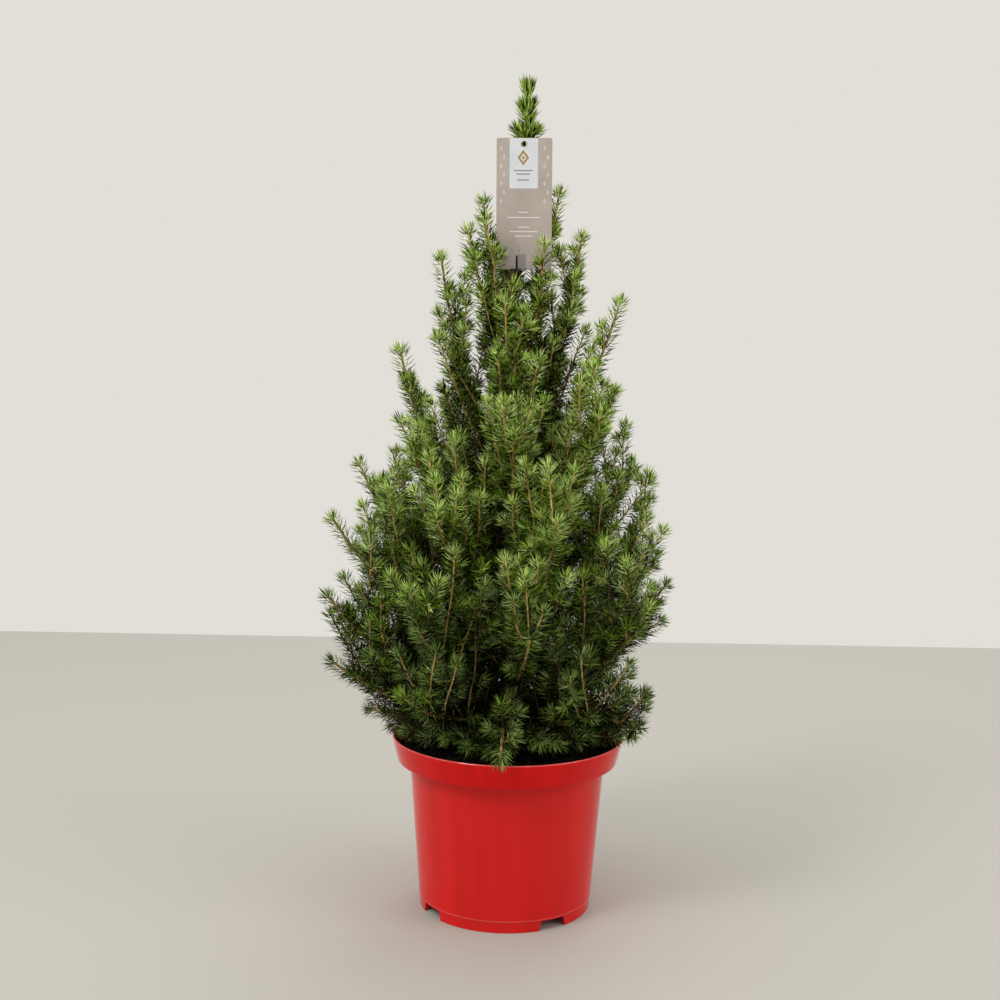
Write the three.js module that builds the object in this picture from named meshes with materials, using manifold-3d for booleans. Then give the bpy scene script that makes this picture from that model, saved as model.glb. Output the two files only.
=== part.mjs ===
// A dwarf white spruce, 0.67 m tall with its pot, as a nursery sells it: a narrow cone of upswept
// shoots on one straight trunk, peat, a red plastic pot with a broad rim, and a card label.
// Millimetres, +Z up. The origin is on the ground under the middle of the pot, and -Y is the front.

import * as THREE from "three";
import { mergeVertices } from "three/addons/utils/BufferGeometryUtils.js";
import Module from "manifold-3d";

const wasm = await Module();
wasm.setup();

const GAP = 0.3; // clearance between solids that touch on the real plant
const TURN = 2 * Math.PI;
const GOLDEN_TURN = TURN * 0.381966;

// The pot, a moulded 3 litre nursery pot
const POT_HEIGHT = 142.5;
const POT_SEGMENTS = 48;
const WALL = 1.5;
const RIM_TOP_RADIUS = 95;
const RIM_FOOT_RADIUS = 90.7;
const RIM_BAND = 20;
const BODY_TOP_RADIUS = 80.6;
const BODY_FOOT_RADIUS = 71;
const RIDGE_HEIGHT = 9.5;
const RIDGE_STEP = 0.5;
const FLOOR_HEIGHT = 9.5;
const FOOT_RING_WIDTH = 4;
const NOTCH_COUNT = 4;
const NOTCH_FIRST_DEG = 213;
const NOTCH_HEIGHT = 8;
const NOTCH_FOOT_WIDTH = 25;
const NOTCH_TOP_WIDTH = 20;

// The peat and the trunk
const SOIL_TOP = 130;
const TRUNK_FOOT = SOIL_TOP + GAP;
const TRUNK_TOP = 596;
const TRUNK_SIDES = 9;
const TRUNK_RINGS = 26;
const TRUNK_FOOT_RADIUS = 8.5;
const TRUNK_TOP_RADIUS = 1.5;
const FLARE = 4.5;
const FLARE_DEPTH = 9;
const BEND = -7; // the trunk bows to the left below the label
const BEND_HEIGHT = 478;
const BEND_SPAN = 60;
const LEAN = 6.8; // and its top leans to the right
const LEAN_FROM = 490;
const LEAN_TO = 565;
const SWAY = 2.5; // a slow wave from front to back
const SWAY_LENGTH = 70;
const TOP_HEIGHT = 672;

// The card label, which stands in front of the trunk on a collar
const CARD_WIDTH = 43.6;
const CARD_HEIGHT = 102;
const CARD_THICKNESS = 0.6;
const CARD_MIDDLE = new THREE.Vector3(5.5, -10, 572);
const CARD_TILT = 0.012;
const CARD_CORNER = 1.2;
const EYELET_RADIUS = 2.2;
const EYELET_DROP = 4.6;
const SLOT_WIDTH = 1.8;
const SLOT_HEIGHT = 11;
const SLOT_OFFSET = -5.6;
const COLLAR_HEIGHT = 7;
const COLLAR_WALL = 1.2;

// The shoots
const LIMB_SIDES = 5;
const LIMB_STEPS = 12; // straight pieces that stand for one limb where distances are measured
const LIMB_END_RADIUS = 0.9;
const CORE_SIDES = 3;
const RING_STEP = 20;
const LEADER_RING_STEP = 10;
const NEEDLE = 17; // over life size, because each one here stands for many
const TIP_NEEDLE = 8;
const NEEDLE_LEAN = 0.75;
const STEM_NEEDLES = 0.6; // the share of a limb's length where needles start on the limb itself
const SHOOT_STEP = 7; // side shoots along a limb, of which the solids keep every fourth one
const SOLID_SHOOTS = 4;
const SHOOT_SPREAD = 0.82;
const SHOOT_END = 0.62; // the last side shoots of a limb, as a share of its longest
const SHOOT_RISE = 0.25; // how far a side shoot curves up
const SHOOT_RADIUS = 1.5;
const SHORTEST_SHOOT = 16;
const SPACE = 0.8; // how far each mass stays from the middle of the gap to the next

// The crown's outline, which only the tips of the limbs stand out of
const CROWN_FOOT = 150;
const CROWN_FOOT_RADIUS = 112;
const CROWN_WIDEST = 240;
const CROWN_RADIUS = 150;
const CROWN_TAPER = 0.9;

// The tiers of limbs, from the pot up. Each limb has a height on the trunk (foot, spread over the
// tier by spread), a reach from the trunk, a tip height and a turn in degrees from +X, which is the
// right of the plant, so 270 is its front. bough is the share of the limb that is bare wood, and
// bare the share with no needles. side is the length of the longest side shoots, and turnUp how far
// they turn up as they leave the limb. lift is how far above its limb the middle of a mass lies.
const TIERS = [
  { tier: "a", foot: 146, spread: 18, reach: 121, tip: 186, radius: 2.8, bough: 0.32, bare: 0.35,
    lift: 6, side: 74, turnUp: 0.85, turns: [183, 204, 236, 267, 303, 345, 45, 110] },
  { tier: "b", foot: 168, spread: 26, reach: 141, tip: 256, radius: 2.9, bough: 0.32, bare: 0.35,
    lift: 10, side: 90, turnUp: 1.2, turns: [204, 240, 276, 315, 31, 85, 140] },
  { tier: "c", foot: 208, spread: 44, reach: 122, tip: 340, radius: 2.7, bough: 0, bare: 0.28,
    lift: 16, side: 90, turnUp: 1.6, turns: [199, 169, 241, 286, 350, 21, 92] },
  { tier: "d", foot: 268, spread: 50, reach: 94, tip: 420, radius: 2.4, bough: 0, bare: 0.28,
    lift: 20, side: 64, turnUp: 1.6, turns: [180, 217, 270, 318, 13, 65, 128] },
  { tier: "e", foot: 345, spread: 56, reach: 60, tip: 515, radius: 2.0, bough: 0, bare: 0.24,
    lift: 18, side: 46, turnUp: 1.4, turns: [184, 232, 311, 353, 8, 95, 270] },
  { tier: "f", foot: 452, spread: 40, reach: 30, tip: 580, radius: 1.5, bough: 0, bare: 0.2,
    lift: 8, side: 24, turnUp: 1.2, turns: [172, 8, 95, 206] },
];
const OUT = 0.62; // where a limb's bend lies, as a share of its reach
const RISE = 0.24; // and of its rise

// The limbs whose tips make the outline, where they differ from their tier. crest is the height of
// the bend of a limb that droops, and its side shoots are short.
const SPIRES = {
  a1: { reach: 121, tip: 165 },
  a2: { reach: 157, tip: 219 },
  a4: { reach: 111, tip: 143, crest: 194, out: 0.72, side: 34 },
  a6: { reach: 109, tip: 143, crest: 178, out: 0.72, side: 42 },
  b1: { reach: 160, tip: 272 },
  b5: { reach: 163, tip: 228 },
  c1: { reach: 152, tip: 331 },
  c2: { reach: 133, tip: 370 },
  c5: { reach: 122, tip: 293 },
  c6: { reach: 113, tip: 368 },
  d1: { reach: 94, tip: 464 },
  d2: { reach: 102, tip: 388 },
  d3: { reach: 90, tip: 398 },
  d5: { reach: 88, tip: 433 },
  e1: { reach: 61, tip: 537 },
  e2: { reach: 29, tip: 544, foot: 420, out: 0.8 },
  e3: { reach: 34, tip: 549, foot: 430, out: 0.8 },
  e4: { reach: 86, tip: 504 },
  e5: { reach: 54, tip: 556 },
  e7: { reach: 46, tip: 476 },
  f1: { reach: 28, tip: 583 },
  f2: { reach: 35, tip: 590 },
  f4: { reach: 44, tip: 558 },
};

const COLOURS = {
  pot: 0xc02221,
  peat: 0x1a120c,
  bark: 0x6b4a30,
  card: 0xaba196,
  needles: 0x3f5a26,
};

// Seeded numbers from 0 to 1, so that the plant grows the same each time.
function seeded(seed) {
  let state = seed >>> 0;
  return () => {
    state = (state + 0x6d2b79f5) >>> 0;
    let mixed = Math.imul(state ^ (state >>> 15), state | 1);
    mixed ^= mixed + Math.imul(mixed ^ (mixed >>> 7), mixed | 61);
    return ((mixed ^ (mixed >>> 14)) >>> 0) / 4294967296;
  };
}

function smoothstep(low, high, value) {
  const share = Math.min(1, Math.max(0, (value - low) / (high - low)));
  return share * share * (3 - 2 * share);
}

function lerp(from, to, share) {
  return from + (to - from) * share;
}

// Solids for joining and cutting
function solidOf(geometry) {
  const bare = geometry.clone();
  bare.deleteAttribute("normal");
  bare.deleteAttribute("uv");
  const merged = mergeVertices(bare, 1e-4);
  const mesh = new wasm.Mesh({
    numProp: 3,
    vertProperties: new Float32Array(merged.attributes.position.array),
    triVerts: new Uint32Array(merged.index.array),
  });
  return new wasm.Manifold(mesh);
}

function geometryOf(solid) {
  const mesh = solid.getMesh();
  return new THREE.BufferGeometry()
    .setAttribute("position", new THREE.BufferAttribute(mesh.vertProperties, 3))
    .setIndex(new THREE.BufferAttribute(mesh.triVerts, 1));
}

// Joins solids into one, and drops any scrap that the joining leaves loose.
function joined(solids) {
  const whole = solids.reduce((sum, solid) => sum.add(solid));
  return whole.decompose().sort((one, other) => other.volume() - one.volume())[0];
}

// A body turned about the Z axis from a closed outline of [radius, height] corners, which run up
// the outside and down the inside.
function turned(outline, segments) {
  const corners = outline.map(([radius, height]) => new THREE.Vector2(radius, height));
  return new THREE.LatheGeometry(corners, segments).rotateX(Math.PI / 2);
}

// The pot
function innerWall(height) {
  const share = height / (POT_HEIGHT - RIM_BAND);
  return lerp(BODY_FOOT_RADIUS, BODY_TOP_RADIUS, share) - WALL;
}

function innerRim(height) {
  const share = (height - POT_HEIGHT + RIM_BAND) / RIM_BAND;
  return lerp(RIM_FOOT_RADIUS, RIM_TOP_RADIUS, share) - WALL;
}

function potSolid() {
  const shoulder = POT_HEIGHT - RIM_BAND;
  const floorTop = FLOOR_HEIGHT + WALL;
  const outline = [
    [0, FLOOR_HEIGHT],
    [BODY_FOOT_RADIUS - FOOT_RING_WIDTH, FLOOR_HEIGHT],
    [BODY_FOOT_RADIUS - FOOT_RING_WIDTH, 0],
    [BODY_FOOT_RADIUS - RIDGE_STEP, 0],
    [BODY_FOOT_RADIUS, RIDGE_HEIGHT - RIDGE_STEP],
    [BODY_FOOT_RADIUS + RIDGE_STEP, RIDGE_HEIGHT],
    [BODY_TOP_RADIUS, shoulder],
    [RIM_FOOT_RADIUS - 1, shoulder],
    [RIM_FOOT_RADIUS, shoulder + 1],
    [RIM_TOP_RADIUS, POT_HEIGHT - 1],
    [RIM_TOP_RADIUS - WALL / 2, POT_HEIGHT],
    [innerRim(POT_HEIGHT), POT_HEIGHT - 1],
    [innerRim(shoulder + WALL), shoulder + WALL],
    [innerWall(shoulder), shoulder],
    [innerWall(floorTop), floorTop],
    [0, floorTop],
  ];
  const notch = new THREE.Shape([
    new THREE.Vector2(-NOTCH_FOOT_WIDTH / 2, -1),
    new THREE.Vector2(NOTCH_FOOT_WIDTH / 2, -1),
    new THREE.Vector2(NOTCH_TOP_WIDTH / 2, NOTCH_HEIGHT),
    new THREE.Vector2(-NOTCH_TOP_WIDTH / 2, NOTCH_HEIGHT),
  ]);
  let solid = solidOf(turned(outline, POT_SEGMENTS));
  for (let i = 0; i < NOTCH_COUNT; i += 1) {
    const turn = THREE.MathUtils.degToRad(NOTCH_FIRST_DEG) + (i * TURN) / NOTCH_COUNT;
    const cutter = new THREE.ExtrudeGeometry(notch, { depth: 30, bevelEnabled: false })
      .rotateX(Math.PI / 2)
      .translate(0, BODY_FOOT_RADIUS + 15, 0)
      .rotateZ(turn - Math.PI / 2);
    solid = solid.subtract(solidOf(cutter));
  }
  return geometryOf(solid);
}

// The peat fills the pot, 0.3 mm clear of its floor and walls.
function soilGeometry() {
  const shoulder = POT_HEIGHT - RIM_BAND;
  const floor = FLOOR_HEIGHT + WALL + GAP;
  const shelf = shoulder + WALL + GAP;
  return turned([
    [0, floor],
    [innerWall(floor) - GAP, floor],
    [innerWall(shoulder) - 2 * GAP, shelf],
    [innerRim(shelf) - 2 * GAP, shelf],
    [innerRim(SOIL_TOP) - 2 * GAP, SOIL_TOP],
    [0, SOIL_TOP],
  ], POT_SEGMENTS);
}

// The trunk's centre line and radius at a height
function trunkAxis(height) {
  const bow = BEND * Math.exp(-(((height - BEND_HEIGHT) / BEND_SPAN) ** 2));
  const lean = LEAN * smoothstep(LEAN_FROM, LEAN_TO, height);
  const sway = SWAY * Math.sin((height - TRUNK_FOOT) / SWAY_LENGTH);
  return new THREE.Vector3(bow + lean, sway, height);
}

function trunkRadius(height) {
  const share = Math.max(0, (height - TRUNK_FOOT) / (TRUNK_TOP - TRUNK_FOOT));
  const taper = lerp(TRUNK_FOOT_RADIUS, TRUNK_TOP_RADIUS, share ** 0.85);
  return taper + FLARE * Math.exp(-(height - TRUNK_FOOT) / FLARE_DEPTH);
}

// Two unit vectors across a direction, the first as near as can be to aside.
function across(direction, aside) {
  const first = aside.clone().addScaledVector(direction, -aside.dot(direction)).normalize();
  const second = new THREE.Vector3().crossVectors(direction, first);
  return [first, second];
}

// One ring of corners round a centre
function ring(centre, direction, aside, radius, sides) {
  const [first, second] = across(direction, aside);
  const corners = [];
  for (let i = 0; i < sides; i += 1) {
    const angle = (i * TURN) / sides;
    corners.push(centre.clone()
      .addScaledVector(first, radius * Math.cos(angle))
      .addScaledVector(second, radius * Math.sin(angle)));
  }
  return corners;
}

function geometryFrom(triangles) {
  const positions = new Float32Array(triangles.flat().flatMap((corner) => corner.toArray()));
  const geometry = new THREE.BufferGeometry()
    .setAttribute("position", new THREE.BufferAttribute(positions, 3));
  return mergeVertices(geometry, 1e-4);
}

// A closed skin over rings of corners. spike(step, side) may give the point of a needle that stands
// on that face of the skin, and tip the point beyond the last ring.
function skin(rings, tip = null, spike = () => null) {
  const sides = rings[0].length;
  const triangles = [];
  for (let i = 0; i + 1 < rings.length; i += 1) {
    for (let j = 0; j < sides; j += 1) {
      const next = (j + 1) % sides;
      const face = [rings[i][j], rings[i][next], rings[i + 1][next], rings[i + 1][j]];
      const point = spike(i, j);
      if (point) {
        face.forEach((corner, k) => triangles.push([corner, face[(k + 1) % 4], point]));
      } else {
        triangles.push([face[0], face[1], face[2]], [face[0], face[2], face[3]]);
      }
    }
  }
  const first = rings[0];
  const last = rings[rings.length - 1];
  for (let j = 1; j + 1 < sides; j += 1) {
    triangles.push([first[0], first[j + 1], first[j]]);
    if (!tip) triangles.push([last[0], last[j], last[j + 1]]);
  }
  if (tip) last.forEach((corner, j) => triangles.push([corner, last[(j + 1) % sides], tip]));
  return geometryFrom(triangles);
}

function trunkGeometry() {
  const up = new THREE.Vector3(0, 0, 1);
  const front = new THREE.Vector3(0, -1, 0);
  const rings = [];
  for (let i = 0; i <= TRUNK_RINGS; i += 1) {
    const share = (i / TRUNK_RINGS) ** 1.25; // the rings lie closer in the flare
    const height = lerp(TRUNK_FOOT, TRUNK_TOP, share);
    rings.push(ring(trunkAxis(height), up, front, trunkRadius(height), TRUNK_SIDES));
  }
  return skin(rings);
}

// Where a limb leaves the trunk, bends and ends. Its last needles reach its tip.
function limbOf(tier, index) {
  const name = tier.tier + (index + 1);
  const foot = tier.foot + tier.spread * ((index * 0.382) % 1);
  const shape = { foot, reach: tier.reach, tip: tier.tip, out: OUT, side: tier.side, ...SPIRES[name] };
  const turn = THREE.MathUtils.degToRad(tier.turns[index]);
  const outward = new THREE.Vector3(Math.cos(turn), Math.sin(turn), 0);
  const axis = trunkAxis(shape.foot);
  const start = axis.clone().addScaledVector(outward, trunkRadius(shape.foot - tier.radius) + GAP);
  const crest = shape.crest ?? lerp(shape.foot, shape.tip, RISE);
  const bend = outward.clone().multiplyScalar(shape.reach * shape.out).setZ(crest);
  const tip = outward.clone().multiplyScalar(shape.reach).setZ(shape.tip);
  const end = tip.clone().addScaledVector(tip.clone().sub(bend).normalize(), -TIP_NEEDLE);
  return {
    name,
    outward,
    path: new THREE.QuadraticBezierCurve3(start, bend, end),
    radius: tier.radius,
    bough: tier.bough,
    bare: tier.bare,
    side: shape.side,
    turnUp: tier.turnUp,
    lift: tier.lift,
    ringStep: RING_STEP,
  };
}

// The leading shoot, which goes on from the top of the trunk
function leaderLimb() {
  const start = trunkAxis(TRUNK_TOP + GAP);
  const end = trunkAxis(TOP_HEIGHT).setZ(TOP_HEIGHT - TIP_NEEDLE);
  const bend = start.clone().lerp(end, 0.5);
  return {
    name: "leader",
    outward: new THREE.Vector3(1, 0, 0),
    path: new THREE.QuadraticBezierCurve3(start, bend, end),
    radius: TRUNK_TOP_RADIUS,
    bough: 0,
    bare: 0.1,
    side: 20,
    turnUp: 0.4,
    lift: 0,
    ringStep: LEADER_RING_STEP,
  };
}

const limbs = TIERS.flatMap((tier) => tier.turns.map((turn, index) => limbOf(tier, index)));
limbs.push(leaderLimb());
limbs.forEach((limb, index) => {
  limb.seed = 101 + index;
  limb.points = limb.path.getPoints(LIMB_STEPS);
  limb.spaceLine = limb.points.map((point, i) => {
    return point.clone().setZ(point.z + limb.lift * smoothstep(0, 0.6, i / LIMB_STEPS));
  });
});

function radiusOn(limb, share) {
  return lerp(limb.radius, LIMB_END_RADIUS, share ** 0.8);
}

// The rings of a limb's wood from one share of its length to another. The ring at the trunk faces it.
function limbRings(limb, from, to, count, sides, aside) {
  const rings = [];
  for (let i = 0; i <= count; i += 1) {
    const share = lerp(from, to, i / count);
    const direction = share === 0 && limb.name !== "leader"
      ? limb.outward
      : limb.path.getTangent(share);
    rings.push(ring(limb.path.getPoint(share), direction, aside, radiusOn(limb, share), sides));
  }
  return rings;
}

function boughGeometry(limb) {
  const up = new THREE.Vector3(0, 0, 1);
  return skin(limbRings(limb, 0, limb.bough, 4, LIMB_SIDES, up));
}

// Distances
function distanceToPath(point, points) {
  const line = new THREE.Line3();
  const nearest = new THREE.Vector3();
  let least = Infinity;
  for (let i = 0; i + 1 < points.length; i += 1) {
    line.set(points[i], points[i + 1]).closestPointToPoint(point, true, nearest);
    least = Math.min(least, nearest.distanceTo(point));
  }
  return least;
}

const cardBox = new THREE.Box3().setFromCenterAndSize(
  CARD_MIDDLE,
  new THREE.Vector3(CARD_WIDTH + 2, CARD_THICKNESS, CARD_HEIGHT + 1),
);

// The label, the pot and the peat are out of bounds to every twig and needle.
function clearOfThings(point, pad) {
  const radius = Math.hypot(point.x, point.y);
  if (cardBox.distanceToPoint(point) < 1 + pad) return false;
  if (point.z < SOIL_TOP + 1 + pad) return radius > RIM_TOP_RADIUS + 1 + pad;
  if (point.z > POT_HEIGHT + 1 + pad) return true;
  return radius < innerRim(SOIL_TOP) - 1 - pad || radius > RIM_TOP_RADIUS + 1 + pad;
}

function clearOfTrunk(point, pad) {
  if (point.z > TRUNK_TOP + 5) return true;
  const axis = trunkAxis(point.z);
  const collar = Math.abs(point.z - (CARD_MIDDLE.z - CARD_HEIGHT / 2)) < 2 * COLLAR_HEIGHT;
  const clearance = collar ? 2 + COLLAR_WALL : 1;
  return Math.hypot(point.x - axis.x, point.y - axis.y) > trunkRadius(point.z) + clearance + pad;
}

// Each mass has for its own space what lies nearer to its limb than to any other.
function inSpace(point, limb, pad) {
  if (!clearOfThings(point, pad) || !clearOfTrunk(point, pad)) return false;
  const own = distanceToPath(point, limb.spaceLine);
  const bound = own + 2 * (SPACE + pad);
  return limbs.every((other) => other === limb || distanceToPath(point, other.spaceLine) > bound);
}

// A shoot is a slim core, bare at its start, with needles that lean towards its tip. The needles
// stand on the faces beside the outer edge, which stays bare as it does on the plant.
function shootSolid(limb, rings, directions, bareSteps) {
  const last = rings.length - 1;
  const middle = (corners) => corners
    .reduce((sum, corner) => sum.add(corner), new THREE.Vector3())
    .divideScalar(corners.length);
  const spike = (step, side) => {
    if (step < bareSteps) return null;
    const next = (side + 1) % CORE_SIDES;
    const face = [rings[step][side], rings[step][next], rings[step + 1][next], rings[step + 1][side]];
    const base = middle(face);
    const axis = middle([...rings[step], ...rings[step + 1]]);
    const away = base.clone().sub(axis).normalize();
    const along = directions[step];
    const lean = NEEDLE_LEAN + (0.25 * step) / last;
    const needle = away.multiplyScalar(Math.cos(lean)).addScaledVector(along, Math.sin(lean));
    const point = base.clone().addScaledVector(needle, NEEDLE);
    const half = base.clone().addScaledVector(needle, NEEDLE / 2);
    return inSpace(point, limb, 0) && inSpace(half, limb, 0) ? point : null;
  };
  const end = middle(rings[last]);
  const tip = end.clone().addScaledVector(directions[last], TIP_NEEDLE);
  return solidOf(skin(rings, tip, spike));
}

// The side that a shoot shows outwards and down, which its needles leave bare
function outerSide(limb) {
  return limb.outward.clone().multiplyScalar(0.8).add(new THREE.Vector3(0, 0, -0.6));
}

function mainShoot(limb) {
  const length = limb.path.getLength();
  const from = limb.bough > 0 ? limb.bough + GAP / length : 0;
  const steps = Math.max(3, Math.round((length * (1 - from)) / limb.ringStep));
  const needled = Math.max(limb.bare, limb.name === "leader" ? 0 : STEM_NEEDLES);
  const bareSteps = Math.round((steps * (needled - from)) / (1 - from));
  const rings = limbRings(limb, from, 1, steps, CORE_SIDES, outerSide(limb));
  const directions = rings.map((_, i) => limb.path.getTangent(lerp(from, 1, i / steps)));
  return shootSolid(limb, rings, directions, bareSteps);
}

// Side shoots leave the limb by the golden angle, shorter towards its tip, and curve up. A shoot
// that would leave the space of its mass is cut short, and a very short one is left out.
function sideShoots(limb) {
  const random = seeded(limb.seed);
  const length = limb.path.getLength();
  const firstTurn = TURN * random();
  const count = Math.floor((length * (1 - limb.bare)) / SHOOT_STEP);
  const shoots = [];
  for (let i = 0; i < count; i += 1) {
    const along = (i + 0.5) / count;
    const share = lerp(limb.bare, 1, along);
    const angle = firstTurn + i * GOLDEN_TURN + 0.5 * (random() - 0.5);
    const spread = SHOOT_SPREAD + 0.3 * (random() - 0.5);
    const size = limb.side * lerp(1, SHOOT_END, along ** 1.4) * lerp(0.75, 1.1, random());
    const start = limb.path.getPoint(share);
    const ahead = limb.path.getTangent(share);
    const [first, second] = across(ahead, outerSide(limb));
    const sideways = first.multiplyScalar(Math.cos(angle)).addScaledVector(second, Math.sin(angle));
    const heading = ahead.clone().multiplyScalar(Math.cos(spread))
      .addScaledVector(sideways, Math.sin(spread))
      .add(new THREE.Vector3(0, 0, limb.turnUp))
      .normalize();
    shoots.push({ start, heading, size, index: i });
  }
  return shoots;
}

function shootPoint(shoot, distance) {
  const lift = (SHOOT_RISE * distance * distance) / shoot.size;
  return shoot.start.clone().addScaledVector(shoot.heading, distance).add({ x: 0, y: 0, z: lift });
}

function crownRadius(height) {
  const low = smoothstep(CROWN_FOOT, CROWN_WIDEST, height);
  const high = Math.max(0, (TOP_HEIGHT - height) / (TOP_HEIGHT - CROWN_WIDEST));
  return lerp(CROWN_FOOT_RADIUS, CROWN_RADIUS, low) * Math.min(1, high) ** CROWN_TAPER;
}

function fits(limb, point) {
  const inCrown = Math.hypot(point.x, point.y) < crownRadius(point.z) || limb.name === "leader";
  return inCrown && inSpace(point, limb, SHOOT_RADIUS);
}

function fittedSize(limb, shoot) {
  const step = 3;
  let size = 0;
  while (size + step <= shoot.size && fits(limb, shootPoint(shoot, size + step))) size += step;
  return size;
}

function sideShootSolid(limb, shoot) {
  const size = fittedSize(limb, shoot) - TIP_NEEDLE;
  if (size < SHORTEST_SHOOT - TIP_NEEDLE) return null;
  const steps = Math.max(1, Math.round(size / limb.ringStep));
  const rings = [];
  const directions = [];
  for (let i = 0; i <= steps; i += 1) {
    const distance = (size * i) / steps;
    const centre = shootPoint(shoot, distance);
    const direction = shootPoint(shoot, distance + 1).sub(centre).normalize();
    const radius = lerp(SHOOT_RADIUS, LIMB_END_RADIUS, i / steps);
    rings.push(ring(centre, direction, outerSide(limb), radius, CORE_SIDES));
    directions.push(direction);
  }
  return shootSolid(limb, rings, directions, 0);
}

function massGeometry(limb) {
  const kept = sideShoots(limb).filter((shoot) => shoot.index % SOLID_SHOOTS === 0);
  const solids = kept.map((shoot) => sideShootSolid(limb, shoot)).filter((solid) => solid);
  return geometryOf(joined([mainShoot(limb), ...solids]));
}

// The label: a card with an eyelet, and a slot over the collar that holds it to the trunk
function labelGeometry() {
  const halfWidth = CARD_WIDTH / 2;
  const halfHeight = CARD_HEIGHT / 2;
  const inset = CARD_CORNER;
  const card = new THREE.Shape();
  card.moveTo(-halfWidth + inset, -halfHeight);
  card.lineTo(SLOT_OFFSET - SLOT_WIDTH / 2, -halfHeight);
  card.lineTo(SLOT_OFFSET - SLOT_WIDTH / 2, -halfHeight + SLOT_HEIGHT);
  card.lineTo(SLOT_OFFSET + SLOT_WIDTH / 2, -halfHeight + SLOT_HEIGHT);
  card.lineTo(SLOT_OFFSET + SLOT_WIDTH / 2, -halfHeight);
  card.lineTo(halfWidth - inset, -halfHeight);
  card.lineTo(halfWidth, -halfHeight + inset);
  card.lineTo(halfWidth, halfHeight - inset);
  card.lineTo(halfWidth - inset, halfHeight);
  card.lineTo(-halfWidth + inset, halfHeight);
  card.lineTo(-halfWidth, halfHeight - inset);
  card.lineTo(-halfWidth, -halfHeight + inset);
  card.closePath();
  const eyelet = new THREE.Path();
  eyelet.absarc(0, halfHeight - EYELET_DROP, EYELET_RADIUS, 0, TURN, true);
  card.holes.push(eyelet);
  const cardPiece = new THREE.ExtrudeGeometry(card, {
    depth: CARD_THICKNESS, bevelEnabled: false, curveSegments: 6,
  })
    .translate(0, 0, -CARD_THICKNESS / 2)
    .rotateX(Math.PI / 2)
    .rotateY(-CARD_TILT)
    .translate(...CARD_MIDDLE.toArray());

  const collarFoot = CARD_MIDDLE.z - halfHeight;
  const collarTop = collarFoot + COLLAR_HEIGHT;
  const bore = trunkRadius(collarFoot) + GAP + 0.9; // room for the trunk's slant inside it
  const collar = new THREE.Shape();
  collar.absarc(0, 0, bore + COLLAR_WALL, 0, TURN, false);
  const hole = new THREE.Path();
  hole.absarc(0, 0, bore, 0, TURN, true);
  collar.holes.push(hole);
  const axis = trunkAxis(lerp(collarFoot, collarTop, 0.5));
  const collarPiece = new THREE.ExtrudeGeometry(collar, {
    depth: COLLAR_HEIGHT, bevelEnabled: false, curveSegments: 12,
  }).translate(axis.x, axis.y, collarFoot);

  const tabBack = axis.y - bore - COLLAR_WALL / 2;
  const tabDepth = tabBack - CARD_MIDDLE.y;
  const tabPieces = [-1, 1].map((side) => new THREE.BoxGeometry(2.4, tabDepth, COLLAR_HEIGHT)
    .translate(axis.x + side * 2.4, (tabBack + CARD_MIDDLE.y) / 2, (collarFoot + collarTop) / 2));
  return geometryOf(joined([cardPiece, collarPiece, ...tabPieces].map(solidOf)));
}

// The assembly
function part(name, geometry, colour, roughness) {
  const material = new THREE.MeshStandardMaterial({ color: colour, roughness, metalness: 0 });
  geometry.computeVertexNormals();
  const mesh = new THREE.Mesh(geometry, material);
  mesh.name = name;
  return mesh;
}

const plant = new THREE.Group();
plant.add(part("pot", potSolid(), COLOURS.pot, 0.25));
plant.add(part("potting_soil", soilGeometry(), COLOURS.peat, 0.95));
plant.add(part("trunk", trunkGeometry(), COLOURS.bark, 0.85));
plant.add(part("plant_label", labelGeometry(), COLOURS.card, 0.45));
for (const limb of limbs) {
  if (limb.bough > 0) plant.add(part("bough_" + limb.name, boughGeometry(limb), COLOURS.bark, 0.85));
  plant.add(part("foliage_" + limb.name, massGeometry(limb), COLOURS.needles, 0.6));
}

export default plant;
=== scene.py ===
"""A dwarf white spruce in a red nursery pot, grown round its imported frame.

Metres, +Z up. The origin is on the ground under the middle of the pot, and -Y is the front.
The limbs follow the rule of the plant's source, and go on here to finer twigs and needles.
"""

import itertools
import math
from dataclasses import dataclass, replace

import bpy
import numpy as np
from mathutils import Matrix, Vector, noise


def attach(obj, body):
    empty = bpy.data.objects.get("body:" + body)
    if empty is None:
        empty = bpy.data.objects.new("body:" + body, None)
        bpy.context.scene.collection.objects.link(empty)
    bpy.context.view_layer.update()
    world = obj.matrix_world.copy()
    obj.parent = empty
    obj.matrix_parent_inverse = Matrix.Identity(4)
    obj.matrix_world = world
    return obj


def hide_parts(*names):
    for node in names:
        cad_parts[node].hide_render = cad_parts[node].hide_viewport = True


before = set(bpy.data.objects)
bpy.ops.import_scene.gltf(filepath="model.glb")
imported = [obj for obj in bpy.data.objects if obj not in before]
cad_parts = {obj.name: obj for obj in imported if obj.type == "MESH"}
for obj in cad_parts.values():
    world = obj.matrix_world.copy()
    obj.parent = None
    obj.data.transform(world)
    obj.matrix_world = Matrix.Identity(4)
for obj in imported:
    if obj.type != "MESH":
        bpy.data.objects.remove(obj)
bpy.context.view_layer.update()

TURN = 2 * math.pi
GOLDEN = 0.381966
GAP = 0.0003
UP = np.array([0.0, 0.0, 1.0])

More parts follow.
